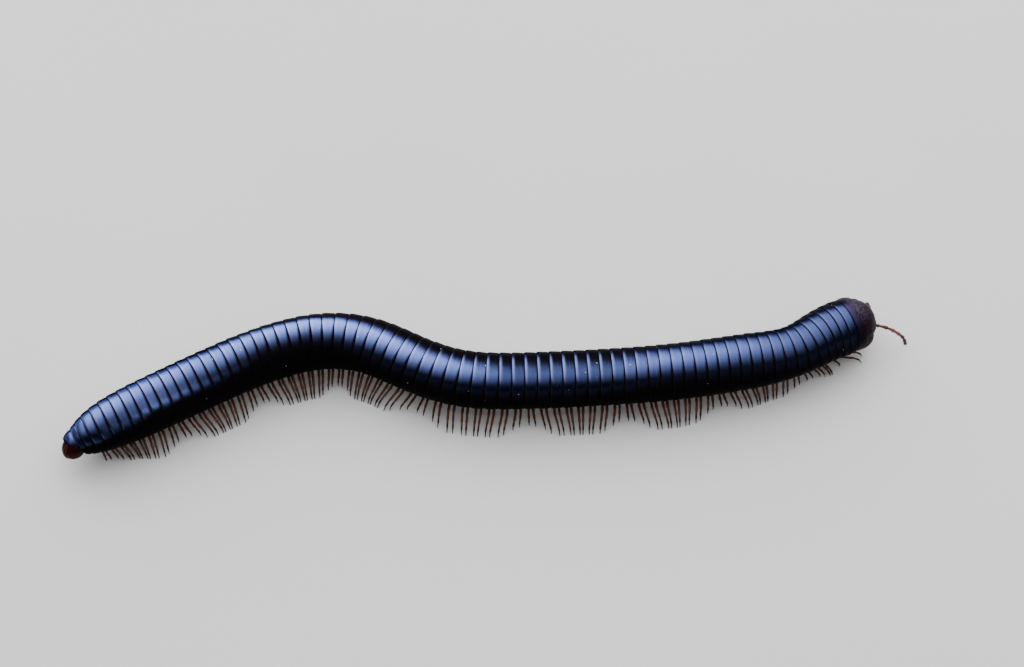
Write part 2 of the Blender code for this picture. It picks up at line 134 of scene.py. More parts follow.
# Legs
LEG_PLACES = (0.32, 0.70)
ROOT_OUT = 0.5 * MM
ROOT_UP = 0.4 * MM
KNEE_OUT = 5.4 * MM
KNEE_HEIGHT = 0.68
KNEE_SWING = 0.3
ANKLE_OUT = 8.7 * MM
ANKLE_HEIGHT = 1.1 * MM
FOOT_OUT = 9.6 * MM
WAVE_LEGS = 16
BUNCH_FROM = 0.2  # where in the wave the feet begin to draw together
SWING = 1.1 * MM
LIFT = 1.0 * MM
TUCK = 2.4 * MM
FRONT_REACH = (0.6, 14 * MM, 44 * MM)
TAIL_REACH = (0.55, 8 * MM, 26 * MM)
FRONT_FEET = ((4.4 * MM, 0.5), (4.9 * MM, 0.66), (1.6 * MM, 0.5))
LEG_SPREAD = (0.94, 1.05)  # thinnest and thickest leg, as shares of the usual one
LEG_SIDES = 8
# A leg from root to claw: share of its length, radius in millimetres. Joints are the slim places.
LEG_PROFILE = (
    (0.0, 0.42), (0.12, 0.41), (0.24, 0.37), (0.28, 0.29), (0.44, 0.35), (0.49, 0.26),
    (0.66, 0.31), (0.71, 0.22), (0.84, 0.24), (0.88, 0.16), (0.965, 0.11), (1.0, 0.03),
)

# Head, in the frame of the collum's rear: x forward, y left, z up
COLLUM_LENGTH = 3.3 * MM
COLLUM_RADIUS = 6.3 * MM
COLLUM_SIDES = 240
COLLUM_PROFILE = (
    (0.0, 0.94), (0.03, 0.957), (0.07, 0.973), (0.12, 0.986), (0.18, 0.995), (0.24, 1.0),
    (0.30, 1.003), (0.36, 1.006), (0.42, 1.008), (0.48, 1.008), (0.54, 1.006), (0.60, 1.002),
    (0.66, 0.996), (0.72, 0.988), (0.78, 0.978), (0.83, 0.967), (0.87, 0.956), (0.90, 0.945),
    (0.925, 0.943), (0.95, 0.946), (0.975, 0.938), (0.99, 0.925), (1.0, 0.90),
)
FURROWS = (0.3, 0.75, 1.25, 1.8)  # millimetres from the collum's lower edge
HEAD_GRAIN = 0.42 * MM
JAW_GRAIN = 0.45 * MM
# Half of the slit between neighbouring pieces of the head or the tail, as a share of GAP
SLIT = 0.2
WIDE_SLIT = 0.3
CHEEK_TOP = 0.2 * MM
CHEEK_NORMAL = Vector((0.857, 0, -0.514))
SHIELD_LEVEL = -4.7 * MM
MOUTH_LEVEL = -4.9 * MM
NOTCH = (0.32 * MM, 0.62 * MM)  # from the middle of the lip to one side
NOTCH_HEIGHT = 0.28 * MM
HEAD_CENTRE = Vector((2.8 * MM, 0, -0.4 * MM))
HEAD_HALF = Vector((4.9 * MM, 5.4 * MM, 5.8 * MM))
CHEEK_INSIDE = 3.3 * MM
CHEEK_CENTRE = Vector((3.0 * MM, 3.0 * MM, -2.3 * MM))
CHEEK_HALF = Vector((3.4 * MM, 2.6 * MM, 3.0 * MM))
CHIN_CENTRE = Vector((2.9 * MM, 0, -4.8 * MM))
CHIN_HALF = Vector((3.4 * MM, 3.15 * MM, 1.3 * MM))
EYE_Y = 4.4 * MM
EYE_Z = 1.9 * MM
EYE_HALF = Vector((1.05 * MM, 0.7 * MM, 0.5 * MM))
LENS_WIDTH = 0.25 * MM
LENS_ROW = 0.87 * LENS_WIDTH
SOCKET_Y = 3.0 * MM
SOCKET_Z = 0.5 * MM
SOCKET_CLEAR = 0.1 * MM
SOCKET_RIM = 0.85 * MM
RIGHT_ANTENNA = ((1.9, 1.5, -0.4), (3.9, 2.8, -1.8), (5.5, 3.7, -3.8), (6.2, 4.1, -5.9))
LEFT_ANTENNA = ((1.2, 0.1, -0.8), (2.1, -0.1, -2.8), (2.2, -0.5, -5.0), (1.8, -0.9, -7.0))

FEELER_SIDES = 16
# Lengths of the articles of a feeler, in millimetres
ARTICLES = (0.8, 1.9, 1.6, 1.5, 1.5, 1.5, 0.7)
# An article of a feeler: share of its length, radius in millimetres.
ARTICLE_PROFILE = ((0.0, 0.24), (0.12, 0.29), (0.4, 0.34), (0.7, 0.43), (0.88, 0.46), (0.97, 0.38))

# Tail, in the frame of the last ring's rear: x forward, y left, z up
TELSON_PROFILE = (
    (0.0, 0.93), (0.05, 0.947), (0.12, 0.955), (0.2, 0.956), (0.3, 0.95), (0.42, 0.935),
    (0.55, 0.912), (0.68, 0.884), (0.82, 0.85), (1.0, 0.80), (1.15, 0.745), (1.3, 0.68),
)
TELSON_RING = 2.4 * MM
TELSON_TURN = math.radians(20)  # the tail end bends to the right
TURNED = Matrix.Rotation(TELSON_TURN, 4, "Z")
# In the frame that is turned with the tail end
VALVE_POINT = Vector((-1.1 * MM, 0, 0))
VALVE_NORMAL = Vector((-0.94, 0, -0.34))
VALVE_CENTRE = Vector((-1.55 * MM, 0, -0.15 * MM))
VALVE_HALF = Vector((2.9 * MM, 2.65 * MM, 2.55 * MM))
SCALE_LEVEL = -2.1 * MM
BRISTLE_LEVELS = (1.2 * MM, 0.1 * MM, -1.1 * MM)

# Colours of details, besides those that are settings
DARK_EDGE = (0.04, 0.03, 0.03, 1)  # what the shell mirrors at a glancing angle
# Painted highlight: the paler sheen on a ring's rear lip.
PALE_SHEEN = (0.42, 0.44, 0.75, 1)  # the sheen on a ring's rear lip
# Painted shade: a pore's hole is painted black.
PORE_BLACK = (0.001, 0.001, 0.001, 1)
RING_DUST = (0.42, 0.40, 0.38, 1)
SHIELD_BROWN = (0.012, 0.005, 0.008, 1)
# Painted reflection: the sheen on the collum's rear band.
SHIELD_SHEEN = (0.26, 0.21, 0.50, 1)
SHIELD_MARGIN = (0.020, 0.008, 0.007, 1)
SHIELD_DUST = (0.45, 0.42, 0.42, 1)
# Painted light: the crown of the head and its shield, top and left, painted lighter and violet.
PAINTED_CROWN_LIGHT = (0.068, 0.048, 0.080, 1)  # the grains on the crown of the head
# On the shield this dark is painted shade between the grains; on the head, the dark end of its uneven
# colour.
HEAD_DARK = (0.005, 0.0025, 0.004, 1)  # between the grains
HEAD_DUST = (0.6, 0.55, 0.58, 1)
JAW_DARK = (0.007, 0.003, 0.003, 1)
HORN_EDGE = (0.15, 0.045, 0.018, 1)  # where the brown horn is thin
LEG_JOINT = (0.03, 0.007, 0.004, 1)
LEG_CLOUD = (0.05, 0.014, 0.007, 1)
CLAW_BLACK = (0.008, 0.004, 0.004, 1)
FEELER_ROOT = (0.07, 0.004, 0.007, 1)
FEELER_MIDDLE = (0.22, 0.06, 0.06, 1)
FEELER_END = (0.035, 0.008, 0.008, 1)
FEELER_JOINT = (0.05, 0.01, 0.008, 1)
FEELER_CLOUD = (0.12, 0.03, 0.02, 1)
HOOD_EDGE = (0.018, 0.003, 0.003, 1)
VALVE_EDGE = (0.05, 0.012, 0.005, 1)
EYE_COLOURS = ((0.004, 0.004, 0.006, 1), (0.014, 0.010, 0.012, 1))
BRISTLE_COLOURS = ((0.20, 0.09, 0.04, 1), (0.34, 0.17, 0.08, 1))
SKY = (0.78, 0.84, 1.0, 1)
SKY_STRENGTH = 0.07
LIGHT_COLOUR = (0.86, 0.91, 1.0)

FLOOR_RADIUS = 3

# The photograph's viewpoint
CAMERA_AIM = Vector((4.8 * MM, 16.5 * MM, 0))
CAMERA_DISTANCE = 0.6922
CAMERA_ELEVATION = math.radians(58)
SENSOR = 36

# One broad soft light in strips that fade towards the camera: each strip's start and end, in
# degrees from straight above towards +Y, and its brightness.
LIGHT_DISTANCE = 0.9
LIGHT_WIDTH = 2.2
SOFT_LIGHTS = (
    ("soft_light_low", 42, 76, 1.0),
    ("soft_light_main", 18, 42, 1.0),
    ("soft_light_upper", -2, 18, 0.8),
    ("soft_light_top", -22, -2, 0.6),
    ("soft_light_front", -42, -22, 0.35),
)

FORWARD = Vector((1, 0, 0))
UP = Vector((0, 0, 1))
SIDES = ((1, "left"), (-1, "right"))


def tint(name, description, colour):
    """A colour setting, from its default red, green and blue."""
    return bpy.props.FloatVectorProperty(
        name=name,
        description=description,
        default=(*colour, 1),
        min=0,
        max=1,
        size=4,
        subtype="COLOR",
    )


class MillipedeBody(bpy.types.PropertyGroup):
    relief: bpy.props.FloatProperty(
        name="Ring relief",
        description="How deep the grooves between the rings are, as a share of the usual depth",
        default=1.0,
        min=0.0,
        max=1.6,
        subtype="FACTOR",
    )
    leg_thickness: bpy.props.FloatProperty(
        name="Leg thickness",
        description="Thickness of the legs, as a share of the usual one",
        default=1.0,
        min=0.6,
        max=1.4,
        subtype="FACTOR",
    )
    grain_height: bpy.props.FloatProperty(
        name="Head grain",
        description="Height of the grains on the head and the front of its shield",
        default=0.07 * MM,
        min=0.0,
        max=0.2 * MM,
        precision=5,
        unit="LENGTH",
    )


class MillipedeColours(bpy.types.PropertyGroup):
    shell: tint("Shell", "Colour of the sides and grooves of the rings", (0.0026, 0.0018, 0.0024))
    sheen: tint("Sheen", "Colour that the back of the rings reflects", (0.19, 0.25, 0.63))
    rim: tint("Rim", "Colour of the thin rear rim of a ring", (0.024, 0.010, 0.008))
    head: tint("Head", "Colour of the grained head", (0.012, 0.006, 0.009))
    jaw: tint("Jaw", "Colour of the jaw bases and the chin", (0.013, 0.005, 0.005))
    valve: tint("Valves", "Colour of the two valves that close the tail", (0.022, 0.0013, 0.0016))
    leg_root: tint("Leg root", "Colour of the legs near the body", (0.036, 0.007, 0.003))
    leg_middle: tint("Leg middle", "Colour of the legs half-way down", (0.15, 0.048, 0.018))
    leg_tip: tint("Leg tip", "Colour of the legs above the claw", (0.025, 0.005, 0.004))


class MillipedeStudio(bpy.types.PropertyGroup):
    floor: tint("Floor", "Colour of the floor", (0.66, 0.62, 0.57))
    lens: bpy.props.FloatProperty(
        name="Lens",
        description="Focal length of the camera, in millimetres",
        default=105,
        min=20,
        max=300,
        unit="CAMERA",
    )
    light: bpy.props.FloatProperty(
        name="Light",
        description="Power of each square metre of the broad soft light above the animal",
        default=12.6,
        min=0,
        max=60,
        unit="POWER",
    )


# The body's course, as in the solids


def clamp(value):
    return min(1, max(0, value))


def bell(distance, width):
    """1 at no distance, and next to nothing beyond about twice the width."""
    return np.exp(-((distance / width) ** 2))


def run_of(line):
    """Distance along a line of points, at each of them."""
    return np.concatenate([[0], np.cumsum(np.linalg.norm(np.diff(line, axis=0), axis=1))])


def natural_spline(points, count):
    """A smooth curve of count points through the given ones."""
    points = np.array(points)
    knots = run_of(points)
    steps = np.diff(knots)
    size = len(points)
    matrix = np.eye(size)
    right = np.zeros_like(points)
    for i in range(1, size - 1):
        matrix[i, i - 1 : i + 2] = steps[i - 1], 2 * (steps[i - 1] + steps[i]), steps[i]
        before = (points[i] - points[i - 1]) / steps[i - 1]
        right[i] = 6 * ((points[i + 1] - points[i]) / steps[i] - before)
    bend = np.linalg.solve(matrix, right)
    at = np.linspace(0, knots[-1], count)
    i = np.clip(np.searchsorted(knots, at) - 1, 0, size - 2)
    h = steps[i][:, None]
    a = (knots[i + 1] - at)[:, None]
    b = (at - knots[i])[:, None]
    return (
        bend[i] * a**3 / (6 * h)
        + bend[i + 1] * b**3 / (6 * h)
        + (points[i] / h - bend[i] * h / 6) * a
        + (points[i + 1] / h - bend[i + 1] * h / 6) * b
    )


FLOOR_LINE = natural_spline(ROUTE, 2000)
ALONG = run_of(FLOOR_LINE)
LENGTH = ALONG[-1]


def body_radius(s):
    """The body's radius at a distance s behind the collum's rear."""
    dip = NECK_DIP * bell(s - NECK_AT, NECK_SPREAD)
    return (BODY_RADIUS - dip) * (1 - math.exp(-max(LENGTH - s, 0) / TAIL_ROUNDING))


def axis_point(s):
    drop = HEAD_DROP * max(0, 1 - s / HEAD_DROP_LENGTH) ** 2
    thinner = BODY_RADIUS - body_radius(max(s, NECK_AT + 2 * NECK_SPREAD))
    height = CLEARANCE + BODY_RADIUS - drop - TAIL_DROP * thinner
    x, y = (np.interp(s, ALONG, FLOOR_LINE[:, i]) for i in range(2))
    return Vector((x, y, height))


def frame_at(s):
    """Place and turn of the body at s: x forward, y left, z up."""
    step = 0.4 * MM
    forward = (axis_point(max(s - step, 0)) - axis_point(min(s + step, LENGTH))).normalized()
    left = UP.cross(forward).normalized()
    up = forward.cross(left)
    place = Matrix((forward, left, up)).transposed().to_4x4()
    place.translation = axis_point(s)
    return place


def ring_lengths():
    shares = []
    for k in range(RINGS):
        share = 1 + MIDDLE_STRETCH * bell(k - MIDDLE_RING, MIDDLE_SPREAD)
        share -= FRONT_SHORT * max(0, 1 - k / FRONT_RINGS)
        share -= TAIL_SHORT / (1 + ((RINGS - 1 - k) / TAIL_SHORT_RINGS) ** 2)
        shares.append(share)
    scale = (LENGTH - TELSON_LENGTH) / sum(shares)
    return [share * scale for share in shares]


RING_STARTS = np.concatenate([[0], np.cumsum(ring_lengths())])
# The lengths of rings that are one piece each: name, first ring, number of rings
LENGTHS = [
    ("neck", 0, NECK_RINGS),
    *((f"trunk_{i + 1}", NECK_RINGS + i * TRUNK_RINGS, TRUNK_RINGS) for i in range(TRUNK_NODES)),
    ("tail", RINGS - TAIL_RINGS, TAIL_RINGS),
]


def ease(distance, least, start, full):
    """Grows from least at the distance start to 1 at the distance full."""
    share = clamp((distance - start) / (full - start))
    return least + (1 - least) * share * share * (3 - 2 * share)


def reach(s):
    """How far the legs at s reach out, as a share of their full reach."""
    return min(ease(s, *FRONT_REACH), ease(LENGTH - s, *TAIL_REACH))


def bend_room(s, side):
    """How far the feet of one side are apart at s, as a share of the straight body's."""
    step = 3 * MM
    here = frame_at(s)
    offset = side * FOOT_OUT * reach(s)
    places = (min(max(s + d, 0), LENGTH) for d in (-step, step))
    ahead, behind = (frame_at(place) @ Vector((0, offset, 0)) for place in places)
    along = (ahead - behind).dot(here.to_3x3() @ FORWARD)
    return min(1, along / (2 * step))


def on_head(y, z):
    """The head's surface point at y and z, on its front half, and the way it faces there."""
    y_share, z_share = (y - HEAD_CENTRE.y) / HEAD_HALF.y, (z - HEAD_CENTRE.z) / HEAD_HALF.z
    x_share = math.sqrt(1 - y_share**2 - z_share**2)
    point = Vector((HEAD_CENTRE.x + HEAD_HALF.x * x_share, y, z))
    facing = Vector((x_share / HEAD_HALF.x, y_share / HEAD_HALF.y, z_share / HEAD_HALF.z))
    return point, facing.normalized()


# Modelling


def select_only(*shapes):
    """Leaves just these objects selected, the last one active."""
    bpy.ops.object.select_all(action="DESELECT")
    for shape in shapes:
        shape.select_set(True)
        bpy.context.view_layer.objects.active = shape


def in_edit_mode(shape):
    select_only(shape)
    bpy.ops.object.mode_set(mode="EDIT")
    bpy.ops.mesh.select_mode(type="VERT")
    bpy.ops.mesh.select_all(action="SELECT")


def settle(shape):
    """Moves an object's place into its mesh."""
    select_only(shape)
    bpy.ops.object.transform_apply(location=True, rotation=True, scale=True)
    return shape


def facing_place(point, direction):
    """A place at a point, turned so that its z looks in the direction."""
    return Matrix.Translation(point) @ direction.to_track_quat("Z", "Y").to_matrix().to_4x4()


def turned(profile, sides):
    """A tube along x: a circle extruded and resized through stations of x and radius."""
    x, radius = profile[0]
    bpy.ops.object.select_all(action="DESELECT")
    bpy.ops.mesh.primitive_circle_add(
        vertices=sides, radius=radius, location=(x, 0, 0), rotation=(0, math.pi / 2, 0)
    )
    shape = settle(bpy.context.object)
    in_edit_mode(shape)
    for (x0, r0), (x1, r1) in zip(profile, profile[1:]):
        bpy.ops.mesh.extrude_region_move(TRANSFORM_OT_translate={"value": (x1 - x0, 0, 0)})
        bpy.ops.transform.resize(value=(1, r1 / r0, r1 / r0), center_override=(x1, 0, 0))
    bpy.ops.object.mode_set(mode="OBJECT")
    return shape


def ball(centre, half, around, along):
    """A sphere stretched to its half sizes, its poles on z."""
    bpy.ops.object.select_all(action="DESELECT")
    bpy.ops.mesh.primitive_uv_sphere_add(segments=around, ring_count=along, radius=1, location=centre)
    shape = bpy.context.object
    shape.scale = half
    return settle(shape)


def cut_off(shape, point, normal):
    """Removes what lies beyond a plane, and closes the cut."""
    in_edit_mode(shape)
    bpy.ops.mesh.bisect(plane_co=point, plane_no=normal, use_fill=True, clear_outer=True)
    bpy.ops.object.mode_set(mode="OBJECT")


def close_up(shape):
    """Merges doubles, closes the open ends and turns every face outwards."""
    in_edit_mode(shape)
    bpy.ops.mesh.remove_doubles(threshold=0.001 * MM)
    bpy.ops.mesh.fill_holes(sides=0)
    bpy.ops.mesh.select_all(action="SELECT")
    bpy.ops.mesh.normals_make_consistent(inside=False)
    bpy.ops.object.mode_set(mode="OBJECT")


def join(shapes):
    select_only(*shapes)
    if len(shapes) > 1:
        bpy.ops.object.join()
    return bpy.context.object


def copy_of(shape):
    made = shape.copy()
    made.data = shape.data.copy()
    bpy.context.scene.collection.objects.link(made)
    return made


def discard(shape):
    bpy.data.objects.remove(shape)


def points_of(shape, kind="co"):
    """The points of a shape, one in each row."""
    values = np.zeros(len(shape.data.vertices) * 3)
    shape.data.vertices.foreach_get(kind, values)
    return values.reshape(-1, 3)


def normals_of(shape):
    return points_of(shape, "normal")


def set_points(shape, points):
    shape.data.vertices.foreach_set("co", np.asarray(points, dtype=float).ravel())
    shape.data.update()


def mark(shape, name, values):
    """Stores a value for each point, which the materials read."""
    layer = shape.data.attributes.get(name) or shape.data.attributes.new(name, "FLOAT", "POINT")
    layer.data.foreach_set("value", np.asarray(values, dtype=np.float32))


def moved(points, place):
    matrix = np.array(place)
    return points @ matrix[:3, :3].T + matrix[:3, 3]


def finished(shape, name, material, nodes, place=None, angle=50):
    """Puts a piece in its place, names, paints and smooths it, keeps the outlines of its flat
    caps sharp, hangs it under the root and hides the solids that it stands for."""
    if place is not None:
        set_points(shape, moved(points_of(shape), place))
    shape.name = name
    shape.data.name = name
    shape.data.materials.clear()
    shape.data.materials.append(material)
    select_only(shape)
    bpy.ops.object.shade_smooth_by_angle(angle=math.radians(angle))
    caps = [face for face in shape.data.polygons if len(face.vertices) > 4]
    outlines = {key for cap in caps for key in cap.edge_keys}
    for edge in shape.data.edges:
        if edge.key in outlines:
            edge.use_edge_sharp = True
    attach(shape, "root")
    if nodes:
        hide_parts(*nodes)
    return shape


# Materials


def node(tree, kind, inputs=None, **settings):
    """Adds a node. An input is given a value, or the socket that feeds it."""
    made = tree.nodes.new(kind)
    for key, value in settings.items():
        setattr(made, key, value)
    for key, value in (inputs or {}).items():
        if isinstance(value, bpy.types.NodeSocket):
            tree.links.new(value, made.inputs[key])
        else:
            made.inputs[key].default_value = value
    return made


def calc(tree, operation, a, b=0.0):
    return node(tree, "ShaderNodeMath", {0: a, 1: b}, operation=operation).outputs[0]


def times(tree, a, b):
    return calc(tree, "MULTIPLY", a, b)


def plus(tree, a, b):
    return calc(tree, "ADD", a, b)


def fade(tree, value, low, high, start=0.0, end=1.0):
    """Goes smoothly from start to end as the value goes from low to high."""
    sockets = {"Value": value, "From Min": low, "From Max": high, "To Min": start, "To Max": end}
    made = node(tree, "ShaderNodeMapRange", sockets, interpolation_type="SMOOTHSTEP")
    return made.outputs["Result"]


def blend(tree, factor, a, b):
    """Goes from colour a to colour b as the factor goes from 0 to 1."""
    made = node(tree, "ShaderNodeMix", {0: factor, 6: a, 7: b}, data_type="RGBA")
    return made.outputs[2]


def scaled(colour, share):
    """A colour with its red, green and blue multiplied by a share."""
    return (*(part * share for part in colour[:3]), 1)


def mark_value(tree, name):
    """Reads the values that mark() stored."""
    made = node(tree, "ShaderNodeAttribute", attribute_name=name, attribute_type="GEOMETRY")
    return made.outputs["Fac"]


def new_group(name, inputs, outputs):
    """An empty shader node group, with its input and output nodes."""
    tree = bpy.data.node_groups.new(name, "ShaderNodeTree")
    for label, default in inputs.items():
        socket = tree.interface.new_socket(label, in_out="INPUT", socket_type="NodeSocketFloat")
        socket.default_value = default
    for label in outputs:
        tree.interface.new_socket(label, in_out="OUTPUT", socket_type="NodeSocketFloat")
    return tree, tree.nodes.new("NodeGroupInput"), tree.nodes.new("NodeGroupOutput")


def grain_group():
    """Fine uneven grain: a height in metres, and the same as a mask."""
    inputs = {"Scale": 1000, "Height": 0.01 * MM}
    tree, given, out = new_group("fine_grain", inputs, ("Height", "Mask"))
    where = node(tree, "ShaderNodeTexCoord").outputs["Object"]
    sockets = {"Vector": where, "Scale": given.outputs["Scale"], "Detail": 3.0, "Roughness": 0.6}
    value = node(tree, "ShaderNodeTexNoise", sockets).outputs[0]
    mask = fade(tree, value, 0.3, 0.7)
    tree.links.new(mask, out.inputs["Mask"])
    tree.links.new(times(tree, mask, given.outputs["Height"]), out.inputs["Height"])
    return tree


def specks_group():
    """Sparse specks of pale dust."""
    inputs = {"Scale": 900, "Size": 0.1, "Share": 0.06}
    tree, given, out = new_group("dust_specks", inputs, ("Mask",))
    where = node(tree, "ShaderNodeTexCoord").outputs["Object"]
    cells = node(tree, "ShaderNodeTexVoronoi", {"Vector": where, "Scale": given.outputs["Scale"]})
    red = node(tree, "ShaderNodeSeparateColor", {0: cells.outputs["Color"]}).outputs[0]
    near = calc(tree, "LESS_THAN", cells.outputs["Distance"], given.outputs["Size"])
    chosen = calc(tree, "LESS_THAN", red, given.outputs["Share"])
    tree.links.new(times(tree, near, chosen), out.inputs["Mask"])
    return tree


def falling(tree, away):
    """A mask that is 1 at the middle of the sheen and falls off smoothly, a half at 1 away."""
    return calc(tree, "POWER", 0.5, calc(tree, "POWER", away, 2.0))


def ring_group():
    """Masks over a ring from its marks: its front part, its rear rim and lip, and the sheen, a painted
    reflection, which reaches higher on the lip as a painted highlight, leaves the front in a dark wedge
    of painted shade and may end in a pale spot, also a painted reflection."""
    outputs = ("Front", "Rim", "Lip", "Sheen", "Glow")
    inputs = {"Along": 0.0, "Away": 0.0, "Climb": 0.0, "Spot": 0.0}
    tree, given, out = new_group("ring_places", inputs, outputs)
    share = calc(tree, "FRACT", given.outputs["Along"])
    front = fade(tree, share, 0.34, 0.10)
    lip = fade(tree, share, 0.58, 0.93)
    # Above the sheen's middle the distance shrinks towards the lip, so the sheen climbs there as a
    # painted highlight.
    climb = times(tree, lip, given.outputs["Climb"])
    up = calc(tree, "MAXIMUM", times(tree, given.outputs["Away"], -1.0), 0.0)
    up = times(tree, up, fade(tree, climb, 0.0, 1.0, 1.0, 0.27))
    down = calc(tree, "MAXIMUM", given.outputs["Away"], 0.0)
    away = plus(tree, plus(tree, up, down), times(tree, front, 0.15))
    # Painted shade between the rings: the dark wedge in front widens down the side, and a thin dark
    # line ends the sheen at the ring's rear.
    width = calc(tree, "MINIMUM", plus(tree, 0.07, times(tree, down, 0.15)), 0.44)
    wedge = fade(tree, calc(tree, "DIVIDE", share, width), 0.1, 1.0)
    edges = times(tree, wedge, fade(tree, share, 1.0, 0.965))
    # The glow is a painted highlight on the lip, where the sheen climbs.
    glow = times(tree, times(tree, climb, climb), fade(tree, down, 0.0, 1.0, 1.0, 0.0))
    glow = times(tree, glow, falling(tree, up))
    # A painted reflection: the pale spot stands in a faint field that ends just under it.
    from_spot = calc(tree, "ABSOLUTE", calc(tree, "SUBTRACT", down, SPOT_AT))
    spot = fade(tree, from_spot, 0.45, 0.0, 0.26, 0.8)
    spot = times(tree, spot, fade(tree, down, 3.0, 2.75))
    spot = times(tree, spot, given.outputs["Spot"])
    sheen = calc(tree, "MAXIMUM", falling(tree, away), spot)
    results = {
        "Front": front,
        "Rim": fade(tree, share, 0.90, 0.97),
        "Lip": lip,
        "Sheen": times(tree, sheen, edges),
        "Glow": times(tree, glow, edges),
    }
    for label, socket in results.items():
        tree.links.new(socket, out.inputs[label])
    return tree


class Paint:
    """The shader tree of one material, with shorthands for the shared groups."""

    def __init__(self, name, roughness, **constants):
        self.material = bpy.data.materials.new(name)
        self.material.use_nodes = True
        self.tree = self.material.node_tree
        self.shader = self.tree.nodes["Principled BSDF"]
        self.shader.inputs["Roughness"].default_value = roughness
        for key, value in constants.items():
            self.shader.inputs[key.replace("_", " ")].default_value = value
        self.heights = []

    def group(self, name, builder, **inputs):
        shared = bpy.data.node_groups.get(name) or builder()
        return node(self.tree, "ShaderNodeGroup", inputs, node_tree=shared).outputs

    def grain(self, scale, height):
        outputs = self.group("fine_grain", grain_group, Scale=scale, Height=height)
        self.heights.append(outputs["Height"])
        return outputs["Mask"]

    def specks(self, scale, size, share):
        return self.group("dust_specks", specks_group, Scale=scale, Size=size, Share=share)["Mask"]

    def lit_crown(self, grains):
        """How far the painted light on the crown covers the rest: more on the grains than between them.
        """
        share = plus(self.tree, 0.2, times(self.tree, grains, 1.3))
        return times(self.tree, mark_value(self.tree, "lit_crown"), share)

    def feed(self, **sockets):
        for key, socket in sockets.items():
            self.tree.links.new(socket, self.shader.inputs[key.replace("_", " ")])

    def done(self):
        if self.heights:
            total = self.heights[0]
            for height in self.heights[1:]:
                total = plus(self.tree, total, height)
            bump = node(self.tree, "ShaderNodeBump", {"Height": total, "Distance": 1.0})
            self.feed(Normal=bump.outputs["Normal"])
        return self.material


def cuticle():
    """Glossy black rings with fine hoops round them and a blue sheen along the back, which is a
    painted reflection: marks make the shell metallic and blue there, so that it mirrors the lights.
    """
    colours = bpy.context.scene.millipede_colours
    paint = Paint("ring_shell", 0.3, IOR=1.5, Specular_IOR_Level=0.004, Specular_Tint=DARK_EDGE)
    tree = paint.tree
    along = mark_value(tree, "ring_along")
    cloud = paint.grain(260, 0.004 * MM)
    fine = paint.grain(2600, 0.0004 * MM)
    sockets = {"W": along, "Scale": 15.0, "Detail": 3.0, "Roughness": 0.7}
    hoops = node(tree, "ShaderNodeTexNoise", sockets, noise_dimensions="1D").outputs[0]
    hoops = fade(tree, hoops, 0.3, 0.7)
    # The clouds and the hoops make the edge of the sheen uneven.
    drift = times(tree, calc(tree, "SUBTRACT", cloud, 0.5), 0.2)
    drift = plus(tree, drift, times(tree, calc(tree, "SUBTRACT", hoops, 0.5), 0.35))
    away = plus(tree, mark_value(tree, "sheen_away"), drift)
    marks = {"Climb": mark_value(tree, "sheen_climb"), "Spot": mark_value(tree, "sheen_spot")}
    places = paint.group("ring_places", ring_group, Along=along, Away=away, **marks)
    paint.heights.append(times(tree, hoops, 0.0012 * MM))
    # Painted reflection: the sheen's mask times its strength, with the painted highlight of the lip.
    gloss = times(tree, places["Sheen"], mark_value(tree, "sheen_strength"))
    gloss = plus(tree, gloss, times(tree, places["Glow"], 0.3))
    gloss = times(tree, gloss, fade(tree, cloud, 0.0, 1.0, 0.88, 1.0))
    gloss = times(tree, gloss, fade(tree, hoops, 0.0, 1.0, 0.85, 1.0))
    # The paler sheen on the lip is a painted highlight.
    lip = times(tree, places["Lip"], 0.4)
    sheen = blend(tree, lip, colours.sheen, PALE_SHEEN)
    rim = times(tree, places["Rim"], 0.25)
    colour = blend(tree, rim, colours.shell, colours.rim)
    colour = blend(tree, gloss, colour, sheen)
    # Painted shade: each pore is painted black for the dark of its hole.
    pore = mark_value(tree, "pore")
    colour = blend(tree, fade(tree, pore, 0.3, 0.9), colour, PORE_BLACK)
    dust = paint.specks(800, 0.09, 0.07)
    colour = blend(tree, dust, colour, RING_DUST)
    rough = plus(tree, 0.29, times(tree, places["Front"], 0.05))
    rough = plus(tree, rough, times(tree, fine, 0.05))
    metal = fade(tree, gloss, 0.0, 0.06)
    paint.feed(Base_Color=colour, Roughness=rough, Metallic=metal)
    return paint.done()


